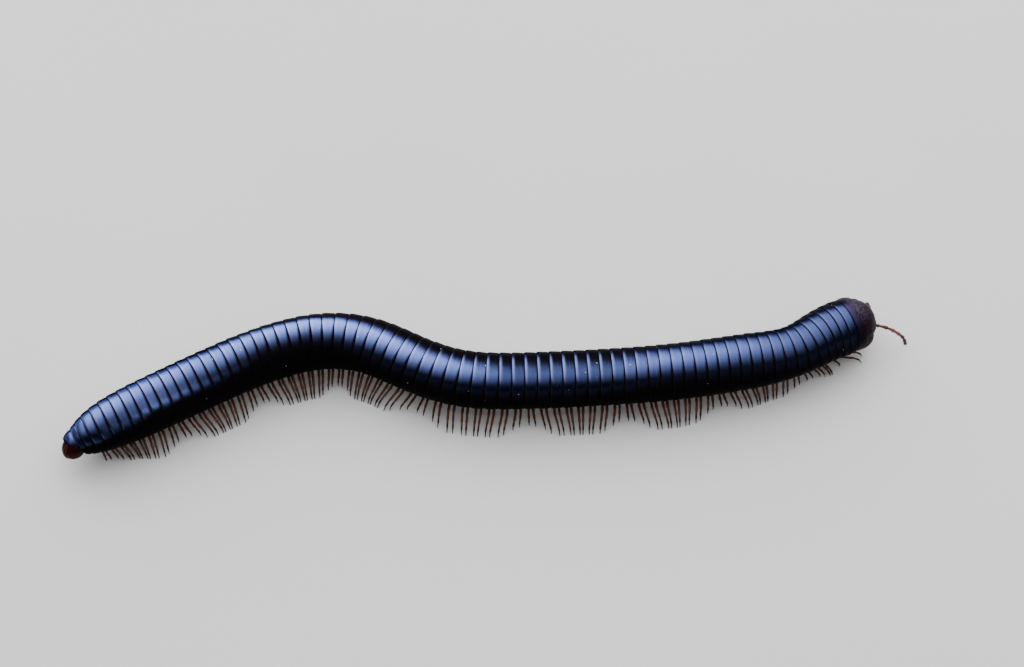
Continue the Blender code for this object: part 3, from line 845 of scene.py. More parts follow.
def shield_paint():
    """The collum: a glossy band behind, whose blue is a painted reflection, grained brown in front, with
    painted shade between the grains and painted light on the crown.
    """
    colours = bpy.context.scene.millipede_colours
    paint = Paint("collum_shell", 0.35, IOR=1.5, Specular_IOR_Level=0.03, Specular_Tint=DARK_EDGE)
    tree = paint.tree
    along, away = mark_value(tree, "shield_along"), mark_value(tree, "sheen_away")
    cloud = paint.grain(420, 0.006 * MM)
    paint.grain(3000, 0.004 * MM)
    ragged = plus(tree, along, times(tree, cloud, 0.10))
    band = times(tree, fade(tree, ragged, 0.62, 0.14), fade(tree, along, 0.0, 0.10))
    # Painted reflection: the band turns metallic and violet-blue where the sheen's mask lies.
    gloss = times(tree, band, falling(tree, calc(tree, "ABSOLUTE", away)))
    gloss = times(tree, gloss, 0.11)
    grains = mark_value(tree, "grains")
    # Painted shade: darker between the grains than on them.
    brown = blend(tree, grains, HEAD_DARK, colours.head)
    brown = blend(tree, times(tree, cloud, 0.5), brown, SHIELD_BROWN)
    # Painted light: the crown lighter and violet.
    brown = blend(tree, paint.lit_crown(grains), brown, PAINTED_CROWN_LIGHT)
    base = blend(tree, fade(tree, ragged, 0.2, 0.55), colours.shell, brown)
    colour = blend(tree, gloss, base, SHIELD_SHEEN)
    margin = fade(tree, along, 0.9, 0.98)
    colour = blend(tree, margin, colour, SHIELD_MARGIN)
    dust = paint.specks(1100, 0.12, 0.06)
    colour = blend(tree, times(tree, dust, 0.7), colour, SHIELD_DUST)
    rough = fade(tree, ragged, 0.30, 0.60, 0.28, 0.44)
    metal = fade(tree, gloss, 0.0, 0.06)
    paint.feed(Base_Color=colour, Roughness=rough, Metallic=metal)
    return paint.done()


def horn(name, colour, dark, roughness, specks=True):
    """Brown horn with uneven colour, for the head, its mouth parts and the tail's small plate. Its grains
    are painted lighter than the hollows between them, and the crown of the head lighter and violet:
    painted light and shade.
    """
    paint = Paint(name, roughness, IOR=1.5, Specular_IOR_Level=0.05)
    tree = paint.tree
    cloud = paint.grain(500, 0.006 * MM)
    fine = paint.grain(3200, 0.0018 * MM)
    shade = blend(tree, cloud, dark, colour)
    grains = mark_value(tree, "grains")
    # Painted highlight: the grains lighter than the hollows between them.
    shade = blend(tree, times(tree, grains, 0.6), shade, scaled(colour, 1.7))
    # Painted light: the crown of the head lighter and violet.
    shade = blend(tree, paint.lit_crown(grains), shade, PAINTED_CROWN_LIGHT)
    shade = blend(tree, mark_value(tree, "edge"), shade, HORN_EDGE)
    if specks:
        dust = paint.specks(1100, 0.12, 0.07)
        shade = blend(tree, dust, shade, HEAD_DUST)
    rough = plus(tree, roughness - 0.05, times(tree, fine, 0.14))
    paint.feed(Base_Color=shade, Roughness=rough)
    return paint.done()


def limb_paint():
    """Legs: red-brown at the root, tan half-way, dark red and black at the claw. The dark root is
    partly painted shade under the body.
    """
    colours = bpy.context.scene.millipede_colours
    paint = Paint("leg_horn", 0.3, IOR=1.5, Specular_IOR_Level=0.18)
    tree = paint.tree
    along = mark_value(tree, "leg_along")
    cloud = paint.grain(600, 0.006 * MM)
    # Darker towards the root: partly painted shade under the body.
    colour = blend(tree, fade(tree, along, 0.15, 0.5), colours.leg_root, colours.leg_middle)
    colour = blend(tree, fade(tree, along, 0.55, 0.85), colour, colours.leg_tip)
    colour = blend(tree, fade(tree, along, 0.93, 0.985), colour, CLAW_BLACK)
    joint = mark_value(tree, "joint")
    colour = blend(tree, times(tree, joint, 0.55), colour, LEG_JOINT)
    colour = blend(tree, times(tree, cloud, 0.35), colour, LEG_CLOUD)
    paint.feed(Base_Color=colour)
    return paint.done()


def feeler_paint():
    """Feelers: dark red at the root, paler half-way, dark at the joints and the end."""
    paint = Paint("feeler_horn", 0.32, IOR=1.5, Specular_IOR_Level=0.3)
    tree = paint.tree
    along = mark_value(tree, "leg_along")
    cloud = paint.grain(700, 0.005 * MM)
    colour = blend(tree, fade(tree, along, 0.35, 0.55), FEELER_ROOT, FEELER_MIDDLE)
    colour = blend(tree, fade(tree, along, 0.62, 0.82), colour, FEELER_END)
    colour = blend(tree, times(tree, mark_value(tree, "joint"), 0.7), colour, FEELER_JOINT)
    colour = blend(tree, times(tree, cloud, 0.35), colour, FEELER_CLOUD)
    paint.feed(Base_Color=colour)
    return paint.done()


def telson_paint():
    """As the rings, with the blue sheen on the back as a painted reflection, and a reddish edge over
    the valves.
    """
    colours = bpy.context.scene.millipede_colours
    paint = Paint("telson_shell", 0.33, IOR=1.5, Specular_IOR_Level=0.02, Specular_Tint=DARK_EDGE)
    tree = paint.tree
    cloud = paint.grain(400, 0.005 * MM)
    paint.grain(2800, 0.001 * MM)
    edge = mark_value(tree, "edge")
    # Painted reflection: metallic blue where the sheen's mask lies, none at the edge.
    gloss = falling(tree, calc(tree, "ABSOLUTE", mark_value(tree, "sheen_away")))
    gloss = times(tree, gloss, fade(tree, edge, 0.0, 1.0, 0.5, 0.0))
    gloss = times(tree, gloss, fade(tree, cloud, 0.0, 1.0, 0.85, 1.0))
    colour = blend(tree, gloss, colours.shell, colours.sheen)
    colour = blend(tree, edge, colour, HOOD_EDGE)
    paint.feed(Base_Color=colour, Metallic=fade(tree, gloss, 0.0, 0.06))
    return paint.done()


def eye_paint():
    coat = {"Coat_Weight": 0.05, "Coat_Roughness": 0.1}
    paint = Paint("eye_lens", 0.2, IOR=1.56, Specular_IOR_Level=0.15, **coat)
    cloud = paint.grain(1500, 0.001 * MM)
    paint.feed(Base_Color=blend(paint.tree, cloud, *EYE_COLOURS))
    return paint.done()


def valve_paint():
    colours = bpy.context.scene.millipede_colours
    paint = Paint("valve_horn", 0.25, IOR=1.5, Specular_IOR_Level=0.05)
    tree = paint.tree
    cloud = paint.grain(500, 0.006 * MM)
    paint.grain(2800, 0.002 * MM)
    colour = blend(tree, cloud, scaled(colours.valve, 0.6), colours.valve)
    colour = blend(tree, mark_value(tree, "edge"), colour, VALVE_EDGE)
    paint.feed(Base_Color=colour)
    return paint.done()


def bristle_paint():
    paint = Paint("bristle", 0.4, IOR=1.5)
    cloud = paint.grain(1500, 0.0)
    paint.feed(Base_Color=blend(paint.tree, cloud, *BRISTLE_COLOURS))
    return paint.done()


def floor_paint(colour):
    paint = Paint("studio_floor", 0.6)
    cloud = paint.grain(6, 0.0)
    paint.feed(Base_Color=blend(paint.tree, cloud, scaled(colour, 0.97), colour))
    return paint.done()


def paint_named(name, builder):
    """The material of that name, which is made when it is first asked for."""
    return bpy.data.materials.get(name) or builder()


# Rings and legs


def mark_sheen(shape, points, k, wander=0):
    """Marks where the painted reflection on the back lies: how far to the right of the sheen's middle
    each point is, as a share of half the sheen's width, and the sheen's strength, climb and pale spot."""
    rings, *values = zip(*SHEEN)
    middle, left, right, *others = (np.interp(k, rings, value) for value in values)
    turn = np.degrees(np.arctan2(-points[:, 1], points[:, 2])) - middle - wander
    mark(shape, "sheen_away", turn / np.where(turn < 0, left, right))
    for name, value in zip(("sheen_strength", "sheen_climb", "sheen_spot"), others):
        mark(shape, name, np.full(len(points), value))


def mark_lit_crown(shape, points):
    """Marks where light is painted on the crown of the head and its shield: the top and left, fading
    forward.
    """
    turn = np.degrees(np.arctan2(-points[:, 1], points[:, 2]))
    around = np.clip((42 - turn) / 38, 0, 1) * np.clip((turn + 62) / 46, 0, 1)
    mark(shape, "lit_crown", around * np.clip((5.3 * MM - points[:, 0]) / (2.0 * MM), 0, 1))


def placed_ring(template, k, front, rear, chance):
    """A copy of the straight ring, bent along the body as ring k."""
    relief = bpy.context.scene.millipede_body.relief
    ring = copy_of(template)
    points = points_of(ring)
    start, length = RING_STARTS[k], RING_STARTS[k + 1] - RING_STARTS[k]
    swell = 1 + chance.uniform(*RING_SWELL)
    lean = chance.uniform(-RING_LEAN, RING_LEAN)
    placed = np.zeros_like(points)
    shares = np.round(points[:, 0], 5)
    for share in np.unique(shares):
        here = shares == share
        s = min(max(start + share * length, start + front), start + length - rear)
        place = np.array(frame_at(s))
        radius = body_radius(s)
        y, z = points[here, 1], points[here, 2]
        size = np.hypot(y, z)
        wanted = 1 - (1 - size) * relief
        if 0 < share < 1:
            wanted = wanted * swell
        y, z = y / size * wanted, z / size * wanted
        slip = lean * length * z * math.sin(math.pi * share)
        z = np.maximum(z, -BELLY * wanted)
        local = np.stack([slip, y * radius, z * radius], axis=1)
        placed[here] = local @ place[:3, :3].T + place[:3, 3]
    pores = np.zeros(len(points))
    if FIRST_PORE_RING <= k < RINGS - BARE_RINGS:
        turn = np.degrees(np.arctan2(points[:, 1], points[:, 2]))
        for side, _ in SIDES:
            away = np.hypot((points[:, 0] - PORE_AT) * 8, (turn - side * PORE_TURN) / 3)
            nearest = np.argmin(away)
            pores[nearest] = 1
            centre = np.array(frame_at(start + PORE_AT * length).translation)
            placed[nearest] += (centre - placed[nearest]) * PORE_DEPTH
    set_points(ring, placed)
    mark(ring, "ring_along", k + points[:, 0])
    mark(ring, "pore", pores)
    mark_sheen(ring, points, k, chance.uniform(-SHEEN_WANDER, SHEEN_WANDER))
    return ring


def leg_line(s, side, number, ahead_by, width):
    """Points along one leg, from its root in the belly to the floor, and the way ahead."""
    place = frame_at(s)
    forwards = place.to_3x3() @ FORWARD
    ahead = Vector((forwards.x, forwards.y, 0)).normalized()
    out = UP.cross(ahead) * side
    below = place @ Vector((0, 0, -BELLY * body_radius(s)))
    belly = below.z
    middle = Vector((below.x, below.y, 0))
    phase = 2 * math.pi * number / WAVE_LEGS
    bunch = max(0, -math.cos(phase) - BUNCH_FROM) / (1 - BUNCH_FROM)
    swing = ahead_by + SWING * math.sin(phase) * bend_room(s, side) ** 2
    foot = FOOT_OUT - TUCK * bunch
    ankle = ANKLE_OUT - TUCK * bunch * 0.7
    lift = LIFT * bunch
    stations = (
        (ROOT_OUT, 0.0, belly + ROOT_UP),
        (KNEE_OUT * width, KNEE_SWING * swing, KNEE_HEIGHT * belly),
        (ankle * width, 0.9 * swing, ANKLE_HEIGHT + 0.8 * lift),
        (foot * width, swing, lift),
    )
    points = [middle + out * y + ahead * x + UP * z for y, x, z in stations]
    return natural_spline([tuple(p) for p in points], 40), ahead


def legs_of(k):
    """Where the legs of ring k are. The first rings have one pair, the rest two."""
    start, length = RING_STARTS[k], RING_STARTS[k + 1] - RING_STARTS[k]
    if k >= RINGS - BARE_RINGS:
        return []
    if k < NECK_RINGS:
        places = [(sum(LEG_PLACES) / 2, k, *FRONT_FEET[k])]
    else:
        first = NECK_RINGS + 2 * (k - NECK_RINGS)
        places = [
            (place, first + i, 0, reach(start + place * length))
            for i, place in enumerate(LEG_PLACES)
        ]
    return [
        leg_line(start + place * length, side, number, ahead_by, width)
        for place, number, ahead_by, width in places
        for side, _ in SIDES
    ]


def along_line(template, line, ahead, thickness, floor=True):
    """A copy of a straight limb of unit length, bent along a line of points."""
    limb = copy_of(template)
    points = points_of(limb)
    run = run_of(line)
    placed = np.zeros_like(points)
    shares = np.round(points[:, 0], 5)
    for share in np.unique(shares):
        here = shares == share
        at = share * run[-1]
        step = 0.02 * run[-1]
        centre, before, after = (
            np.array([np.interp(min(max(d, 0), run[-1]), run, line[:, i]) for i in range(3)])
            for d in (at, at - step, at + step)
        )
        tangent = Vector(after - before).normalized()
        wide = (ahead - tangent * ahead.dot(tangent)).normalized()
        deep = tangent.cross(wide)
        offsets = np.outer(points[here, 1], wide) + np.outer(points[here, 2], deep)
        placed[here] = centre + offsets * thickness
    if floor:
        placed[:, 2] = np.maximum(placed[:, 2], 0)
    set_points(limb, placed)
    return limb


# Head and tail


def grains_at(point, size):
    """How high the grained surface stands at a point, from 0 to 1. Size is a grain's width."""
    nearest = noise.voronoi(Vector(point) / size)[0][0]
    return max(0, 1 - 1.5 * nearest)


def uneven(point, scale, height):
    """A shallow unevenness, as a height at a point."""
    return noise.noise(Vector(point) * scale) * height


def grained(shape, relief, strength=None, size=0.0, height=0.0):
    """Lifts a shape's points by relief(point), in metres. Where strength(point) asks for grains,
    it raises them too, of that size and height. Returns the points."""
    points, normals = points_of(shape), normals_of(shape)
    grains = np.zeros(len(points))
    lifted = points.copy()
    for i, (point, normal) in enumerate(zip(points, normals)):
        share = strength(point) if strength else 0
        if share > 0:
            grains[i] = share * grains_at(point, size)
        lifted[i] = point + normal * (grains[i] * height + relief(point))
    set_points(shape, lifted)
    mark(shape, "grains", grains)
    return lifted


def bristles(roots, length, thickness):
    """Thin stiff hairs standing at each root, given as a point and a direction."""
    bpy.ops.object.select_all(action="DESELECT")
    middle = (0, 0, 0.4 * length)
    bpy.ops.mesh.primitive_cone_add(
        vertices=3, radius1=thickness / 2, radius2=0, depth=length, location=middle
    )
    template = settle(bpy.context.object)
    hairs = []
    for point, direction in roots:
        hair = copy_of(template)
        set_points(hair, moved(points_of(hair), facing_place(point, direction)))
        hairs.append(hair)
    discard(template)
    return join(hairs)


def subtract(shape, cutter):
    change = shape.modifiers.new("cut", "BOOLEAN")
    change.object = cutter
    change.operation = "DIFFERENCE"
    change.solver = "EXACT"
    select_only(shape)
    bpy.ops.object.modifier_apply(modifier="cut")
    discard(cutter)


def block(low, high):
    """A box between two corners, used for cutting."""
    bpy.ops.object.select_all(action="DESELECT")
    middle = [(a + b) / 2 for a, b in zip(low, high)]
    bpy.ops.mesh.primitive_cube_add(size=1, location=middle)
    made = bpy.context.object
    made.scale = [b - a for a, b in zip(low, high)]
    return settle(made)


# Operators


class MILLIPEDE_OT_studio(bpy.types.Operator):
    """Lays out the floor, the soft lights and the camera"""

    bl_idname = "millipede.studio"
    bl_label = "Studio"

    def execute(self, context):
        studio = context.scene.millipede_studio
        bpy.ops.object.select_all(action="DESELECT")
        bpy.ops.mesh.primitive_circle_add(vertices=128, radius=FLOOR_RADIUS, fill_type="NGON")
        floor = context.object
        floor.name = "studio_floor"
        floor.data.materials.append(floor_paint(studio.floor))
        world = bpy.data.worlds.new("studio_air")
        world.use_nodes = True
        back = world.node_tree.nodes["Background"]
        back.inputs["Color"].default_value = SKY
        back.inputs["Strength"].default_value = SKY_STRENGTH
        context.scene.world = world
        for name, start, end, share in SOFT_LIGHTS:
            light = bpy.data.lights.new(name, "AREA")
            light.shape = "RECTANGLE"
            light.size = LIGHT_WIDTH
            light.size_y = 2 * LIGHT_DISTANCE * math.tan(math.radians(end - start) / 2)
            light.energy = studio.light * share * light.size * light.size_y
            light.color = LIGHT_COLOUR
            lamp = bpy.data.objects.new(name, light)
            turn = math.radians((start + end) / 2)
            lamp.location = LIGHT_DISTANCE * Vector((0, math.sin(turn), math.cos(turn)))
            lamp.rotation_euler = (-turn, 0, 0)
            context.scene.collection.objects.link(lamp)
        data = bpy.data.cameras.new("camera")
        data.lens = studio.lens
        data.sensor_width = SENSOR
        data.clip_start = 0.01
        camera = bpy.data.objects.new("camera", data)
        back_by = math.cos(CAMERA_ELEVATION) * CAMERA_DISTANCE
        up_by = math.sin(CAMERA_ELEVATION) * CAMERA_DISTANCE
        camera.location = CAMERA_AIM + Vector((0, -back_by, up_by))
        camera.rotation_euler = (math.pi / 2 - CAMERA_ELEVATION, 0, 0)
        context.scene.collection.objects.link(camera)
        context.scene.camera = camera
        return {"FINISHED"}


class MILLIPEDE_OT_rings(bpy.types.Operator):
    """Models one ring, and bends copies of it along the neck, the trunk and the tail"""

    bl_idname = "millipede.rings"
    bl_label = "Rings"

    def execute(self, context):
        chance = random.Random(SEED)
        template = turned(RING_PROFILE, RING_SIDES)
        shell = paint_named("ring_shell", cuticle)
        for name, first, count in LENGTHS:
            rings = []
            for k in range(first, first + count):
                front = SEAM if k == first else 0
                rear = SEAM if k == first + count - 1 else 0
                rings.append(placed_ring(template, k, front, rear, chance))
            body = join(rings)
            close_up(body)
            finished(body, f"{name}_rings", shell, [name], angle=60)
        discard(template)
        return {"FINISHED"}


class MILLIPEDE_OT_legs(bpy.types.Operator):
    """Models one leg, and sets copies of it in their wave under the body"""

    bl_idname = "millipede.legs"
    bl_label = "Legs"

    def execute(self, context):
        thickness = context.scene.millipede_body.leg_thickness * MM
        chance = random.Random(SEED + 1)
        template = turned(LEG_PROFILE, LEG_SIDES)
        close_up(template)
        shares = points_of(template)[:, 0]
        slim = [share for (share, r), (_, after) in zip(LEG_PROFILE, LEG_PROFILE[1:]) if after > r]
        mark(template, "leg_along", shares)
        mark(template, "joint", np.max([bell(shares - at, 0.03) for at in slim], axis=0))
        horn_paint = paint_named("leg_horn", limb_paint)
        for name, first, count in LENGTHS:
            legs = []
            for k in range(first, first + count):
                for line, ahead in legs_of(k):
                    size = thickness * chance.uniform(*LEG_SPREAD)
                    legs.append(along_line(template, line, ahead, size))
            if legs:
                finished(join(legs), f"{name}_legs", horn_paint, [name], angle=60)
        discard(template)
        return {"FINISHED"}


class MILLIPEDE_OT_collum(bpy.types.Operator):
    """Models the shield behind the head, smooth behind and grained in front"""

    bl_idname = "millipede.collum"
    bl_label = "Collum"

    def execute(self, context):
        length = COLLUM_LENGTH - SEAM
        profile = [(SEAM + x * length, share * COLLUM_RADIUS) for x, share in COLLUM_PROFILE]
        shield = turned(profile, COLLUM_SIDES)
        close_up(shield)
        edge = Vector((COLLUM_LENGTH, 0, CHEEK_TOP))

        def strength(point):
            ahead = clamp((point[0] / COLLUM_LENGTH - 0.36) / 0.12)
            return ahead * (point[0] < 0.99 * COLLUM_LENGTH)

        def relief(point):
            if math.hypot(point[1], point[2]) < 0.8 * COLLUM_RADIUS:
                return 0
            beside = (edge - Vector(point)).dot(CHEEK_NORMAL)
            low = clamp((1.2 * MM - point[2]) / (1.5 * MM))
            furrows = sum(bell(beside - at * MM, 0.10 * MM) for at in FURROWS)
            return uneven(point, 900, 0.03 * MM) * strength(point) - 0.06 * MM * low * furrows

        height = context.scene.millipede_body.grain_height
        points = grained(shield, relief, strength, HEAD_GRAIN, height)
        mark(shield, "shield_along", points[:, 0] / COLLUM_LENGTH)
        mark_lit_crown(shield, points)
        mark_sheen(shield, points, 0)
        cut_off(shield, edge, CHEEK_NORMAL)
        cut_off(shield, (0, 0, SHIELD_LEVEL), (0, 0, -1))
        paint = paint_named("collum_shell", shield_paint)
        finished(shield, "collum_shield", paint, ["collum"], frame_at(0))
        return {"FINISHED"}


class MILLIPEDE_OT_head(bpy.types.Operator):
    """Models the grained head with its seam, feeler sockets and lip"""

    bl_idname = "millipede.head"
    bl_label = "Head"

    def execute(self, context):
        skull = ball(HEAD_CENTRE, HEAD_HALF, 220, 150)
        sockets = [on_head(side * SOCKET_Y, SOCKET_Z)[0] for side, _ in SIDES]

        def from_socket(point):
            return min((Vector(point) - socket).length for socket in sockets)

        def strength(point):
            lip = clamp((point[2] - MOUTH_LEVEL - 0.5 * MM) / (0.6 * MM))
            return lip * clamp((from_socket(point) - 0.8 * MM) / (0.4 * MM))

        def relief(point):
            if point[0] < COLLUM_LENGTH:
                return 0
            # Each feeler's socket: a raised rim round a hollow
            away = from_socket(point)
            lift = 0.12 * MM * bell(away - SOCKET_RIM, 0.16 * MM)
            lift -= 0.16 * MM * bell(away, 0.5 * MM)
            # The seam down the middle of the brow
            y, z = abs(point[1]), point[2]
            if z > -1.5 * MM:
                lift -= 0.07 * MM * bell(y, 0.09 * MM)
            # The groove over the lip, and the row of pits above it
            level = MOUTH_LEVEL + 1.25 * MM + 0.02 * y * y / MM
            if y < 3.2 * MM:
                lift -= 0.08 * MM * bell(z - level, 0.10 * MM)
            for at in (0.5, 1.3, 2.1):
                from_pit = math.hypot(y - at * MM, z - level - 0.45 * MM)
                lift -= 0.10 * MM * bell(from_pit, 0.12 * MM)
            return lift + uneven(point, 500, 0.05 * MM)

        height = context.scene.millipede_body.grain_height
        points = grained(skull, relief, strength, HEAD_GRAIN, height)
        lip = np.clip((MOUTH_LEVEL + 0.9 * MM - points[:, 2]) / (0.6 * MM), 0, 1)
        away = [np.linalg.norm(points - np.array(socket), axis=1) for socket in sockets]
        collar = bell(np.min(away, axis=0) - SOCKET_RIM, 0.35 * MM)
        mark(skull, "edge", np.maximum(0.8 * lip, 0.3 * collar))
        mark_lit_crown(skull, points)
        cut_off(skull, (COLLUM_LENGTH + SLIT * GAP, 0, 0), (-1, 0, 0))
        cut_off(skull, (0, 0, MOUTH_LEVEL), (0, 0, -1))
        far = 2 * COLLUM_RADIUS
        for side, _ in SIDES:
            low, high = sorted((side * (CHEEK_INSIDE - SLIT * GAP), side * far))
            subtract(skull, block((-far, low, -far), (far, high, CHEEK_TOP + SLIT * GAP)))
            low, high = sorted(side * at for at in NOTCH)
            top = MOUTH_LEVEL + NOTCH_HEIGHT
            subtract(skull, block((HEAD_CENTRE.x, low, MOUTH_LEVEL - MM), (far, high, top)))
        paint = horn("head_horn", context.scene.millipede_colours.head, HEAD_DARK, 0.40)
        finished(skull, "head_capsule", paint, ["head"], frame_at(0))
        return {"FINISHED"}


class MILLIPEDE_OT_jaws(bpy.types.Operator):
    """Models the swollen bases of the jaws and the plate that closes the mouth from below"""

    bl_idname = "millipede.jaws"
    bl_label = "Jaw bases and chin"

    def execute(self, context):
        paint = horn("jaw_horn", context.scene.millipede_colours.jaw, JAW_DARK, 0.36)
        edge = Vector((COLLUM_LENGTH, 0, CHEEK_TOP)) + CHEEK_NORMAL * WIDE_SLIT * GAP

        def cheek_relief(point):
            above = point[2] - CHEEK_CENTRE.z
            seam = point[0] - 4.3 * MM - 0.35 * above
            front = point[0] - 5.7 * MM - 0.2 * above
            lift = -0.08 * MM * bell(seam, 0.09 * MM) - 0.07 * MM * bell(front, 0.08 * MM)
            return lift + uneven(point, 450, 0.06 * MM)

        def chin_relief(point):
            x, y = point[0], abs(point[1])
            lines = bell(y, 0.08 * MM) * (x > 3.4 * MM)
            lines += bell(y - 0.55 * MM - 0.32 * (5.0 * MM - x), 0.09 * MM)
            lines += bell(y - 2.1 * MM, 0.09 * MM)
            lines += bell(x - 5.2 * MM, 0.08 * MM) * (y < 2 * MM)
            return -0.08 * MM * lines + uneven(point, 600, 0.04 * MM)

        height = 0.5 * context.scene.millipede_body.grain_height
        for side, name in SIDES:
            centre = Vector((CHEEK_CENTRE.x, side * CHEEK_CENTRE.y, CHEEK_CENTRE.z))
            cheek = ball(centre, CHEEK_HALF, 96, 64)
            points = grained(cheek, cheek_relief, lambda point: 0.7, JAW_GRAIN, height)
            rim = np.clip((points[:, 0] - 5.6 * MM) / (0.6 * MM), 0, 1)
            low = np.clip((-4.2 * MM - points[:, 2]) / (0.6 * MM), 0, 1)
            mark(cheek, "edge", 0.5 * np.maximum(rim, low))
            cut_off(cheek, edge, -CHEEK_NORMAL)
            cut_off(cheek, (0, side * (CHEEK_INSIDE + SLIT * GAP), 0), (0, -side, 0))
            cut_off(cheek, (0, 0, CHEEK_TOP - SLIT * GAP), (0, 0, 1))
            nodes = [f"jaw_base_{name}"]
            finished(cheek, f"jaw_stem_{name}", paint, nodes, frame_at(0))
        chin = ball(CHIN_CENTRE, CHIN_HALF, 96, 64)
        points = grained(chin, chin_relief, lambda point: 0.4, JAW_GRAIN, height)
        mark(chin, "edge", 0.8 * np.clip((points[:, 0] - 5.4 * MM) / (0.5 * MM), 0, 1))
        cut_off(chin, (0, 0, MOUTH_LEVEL - WIDE_SLIT * GAP), (0, 0, 1))
        cut_off(chin, (HALF_GAP, 0, 0), (-1, 0, 0))
        finished(chin, "mouth_plate", paint, ["chin_plate"], frame_at(0))
        return {"FINISHED"}


class MILLIPEDE_OT_eyes(bpy.types.Operator):
    """Models each eye as an oval field of small lenses in rows"""

    bl_idname = "millipede.eyes"
    bl_label = "Eyes"

    def execute(self, context):
        paint = paint_named("eye_lens", eye_paint)
        bpy.ops.object.select_all(action="DESELECT")
        bpy.ops.mesh.primitive_ico_sphere_add(subdivisions=2, radius=0.54 * LENS_WIDTH)
        template = settle(context.object)
        half = Vector((EYE_HALF.x, EYE_HALF.y, 0.62 * EYE_HALF.z))
        rows = int(half.y / LENS_ROW)
        count = int(half.x / LENS_WIDTH) + 1
        for side, name in SIDES:
            parts = [ball((0, 0, 0), half, 32, 16)]
            for row in range(-rows, rows + 1):
                for i in range(-count, count + 1):
                    u, v = (i + 0.5 * (row % 2)) * LENS_WIDTH, row * LENS_ROW
                    out = (u / half.x) ** 2 + (v / half.y) ** 2
                    if out < 0.86:
                        lens = copy_of(template)
                        height = half.z * math.sqrt(1 - out) - 0.2 * LENS_WIDTH
                        set_points(lens, points_of(lens) + np.array((u, v, height)))
                        parts.append(lens)
            place = frame_at(0) @ facing_place(*on_head(side * EYE_Y, EYE_Z))
            nodes = [f"eye_{name}"]
            finished(join(parts), f"eye_field_{name}", paint, nodes, place, 60)
        discard(template)
        return {"FINISHED"}


class MILLIPEDE_OT_antennae(bpy.types.Operator):
    """Models a feeler of seven club-shaped articles, and bends one to each side"""

    bl_idname = "millipede.antennae"
    bl_label = "Antennae"

    def execute(self, context):
        chance = random.Random(SEED + 2)
        profile = []
        joints = []
        start = 0.0
        for article in ARTICLES:
            length = article / sum(ARTICLES)
            joints.append(start)
            profile += [(start + share * length, radius) for share, radius in ARTICLE_PROFILE]
            start += length
        template = turned(profile, FEELER_SIDES)
        close_up(template)
        shares = points_of(template)[:, 0]
        mark(template, "leg_along", 0.2 + 0.8 * shares)
        mark(template, "joint", np.max([bell(shares - at, 0.012) for at in joints], axis=0))
        paint = paint_named("feeler_horn", feeler_paint)
        for (side, name), steps in zip(SIDES, (LEFT_ANTENNA, RIGHT_ANTENNA)):
            point, facing = on_head(side * SOCKET_Y, SOCKET_Z)
            base = point - facing * 0.2 * MM
            clear = point + facing * (GAP + SOCKET_CLEAR)
            ends = [clear + Vector((x, side * y, z)) * MM for x, y, z in steps]
            line = natural_spline([tuple(p) for p in (base, *ends)], 80)
            feeler = along_line(template, line, UP, MM, floor=False)
            skin, normals = points_of(feeler), normals_of(feeler)
            order = chance.sample(range(len(skin)), len(skin) // 6)
            lean = 0.7 * Vector(line[-1] - line[0]).normalized()
            hairy = [i for i in order if 0.12 < shares[i] < 0.985]
            roots = [(Vector(skin[i]), Vector(normals[i]) + lean) for i in hairy]
            run = Vector(line[-1] - line[-6]).normalized()
            across = run.orthogonal().normalized()
            over = run.cross(across)
            tip = Vector(line[-1])
            tips = [(tip + away * 0.11 * MM, run) for away in (across, -across, over, -over)]
            cones = bristles(tips, 0.22 * MM, 0.12 * MM)
            hairs = bristles(roots, 0.32 * MM, 0.03 * MM)
            feeler = join([hairs, cones, feeler])
            nodes = [f"antenna_{name}"]
            finished(feeler, f"feeler_{name}", paint, nodes, frame_at(0), 60)
        discard(template)
        return {"FINISHED"}


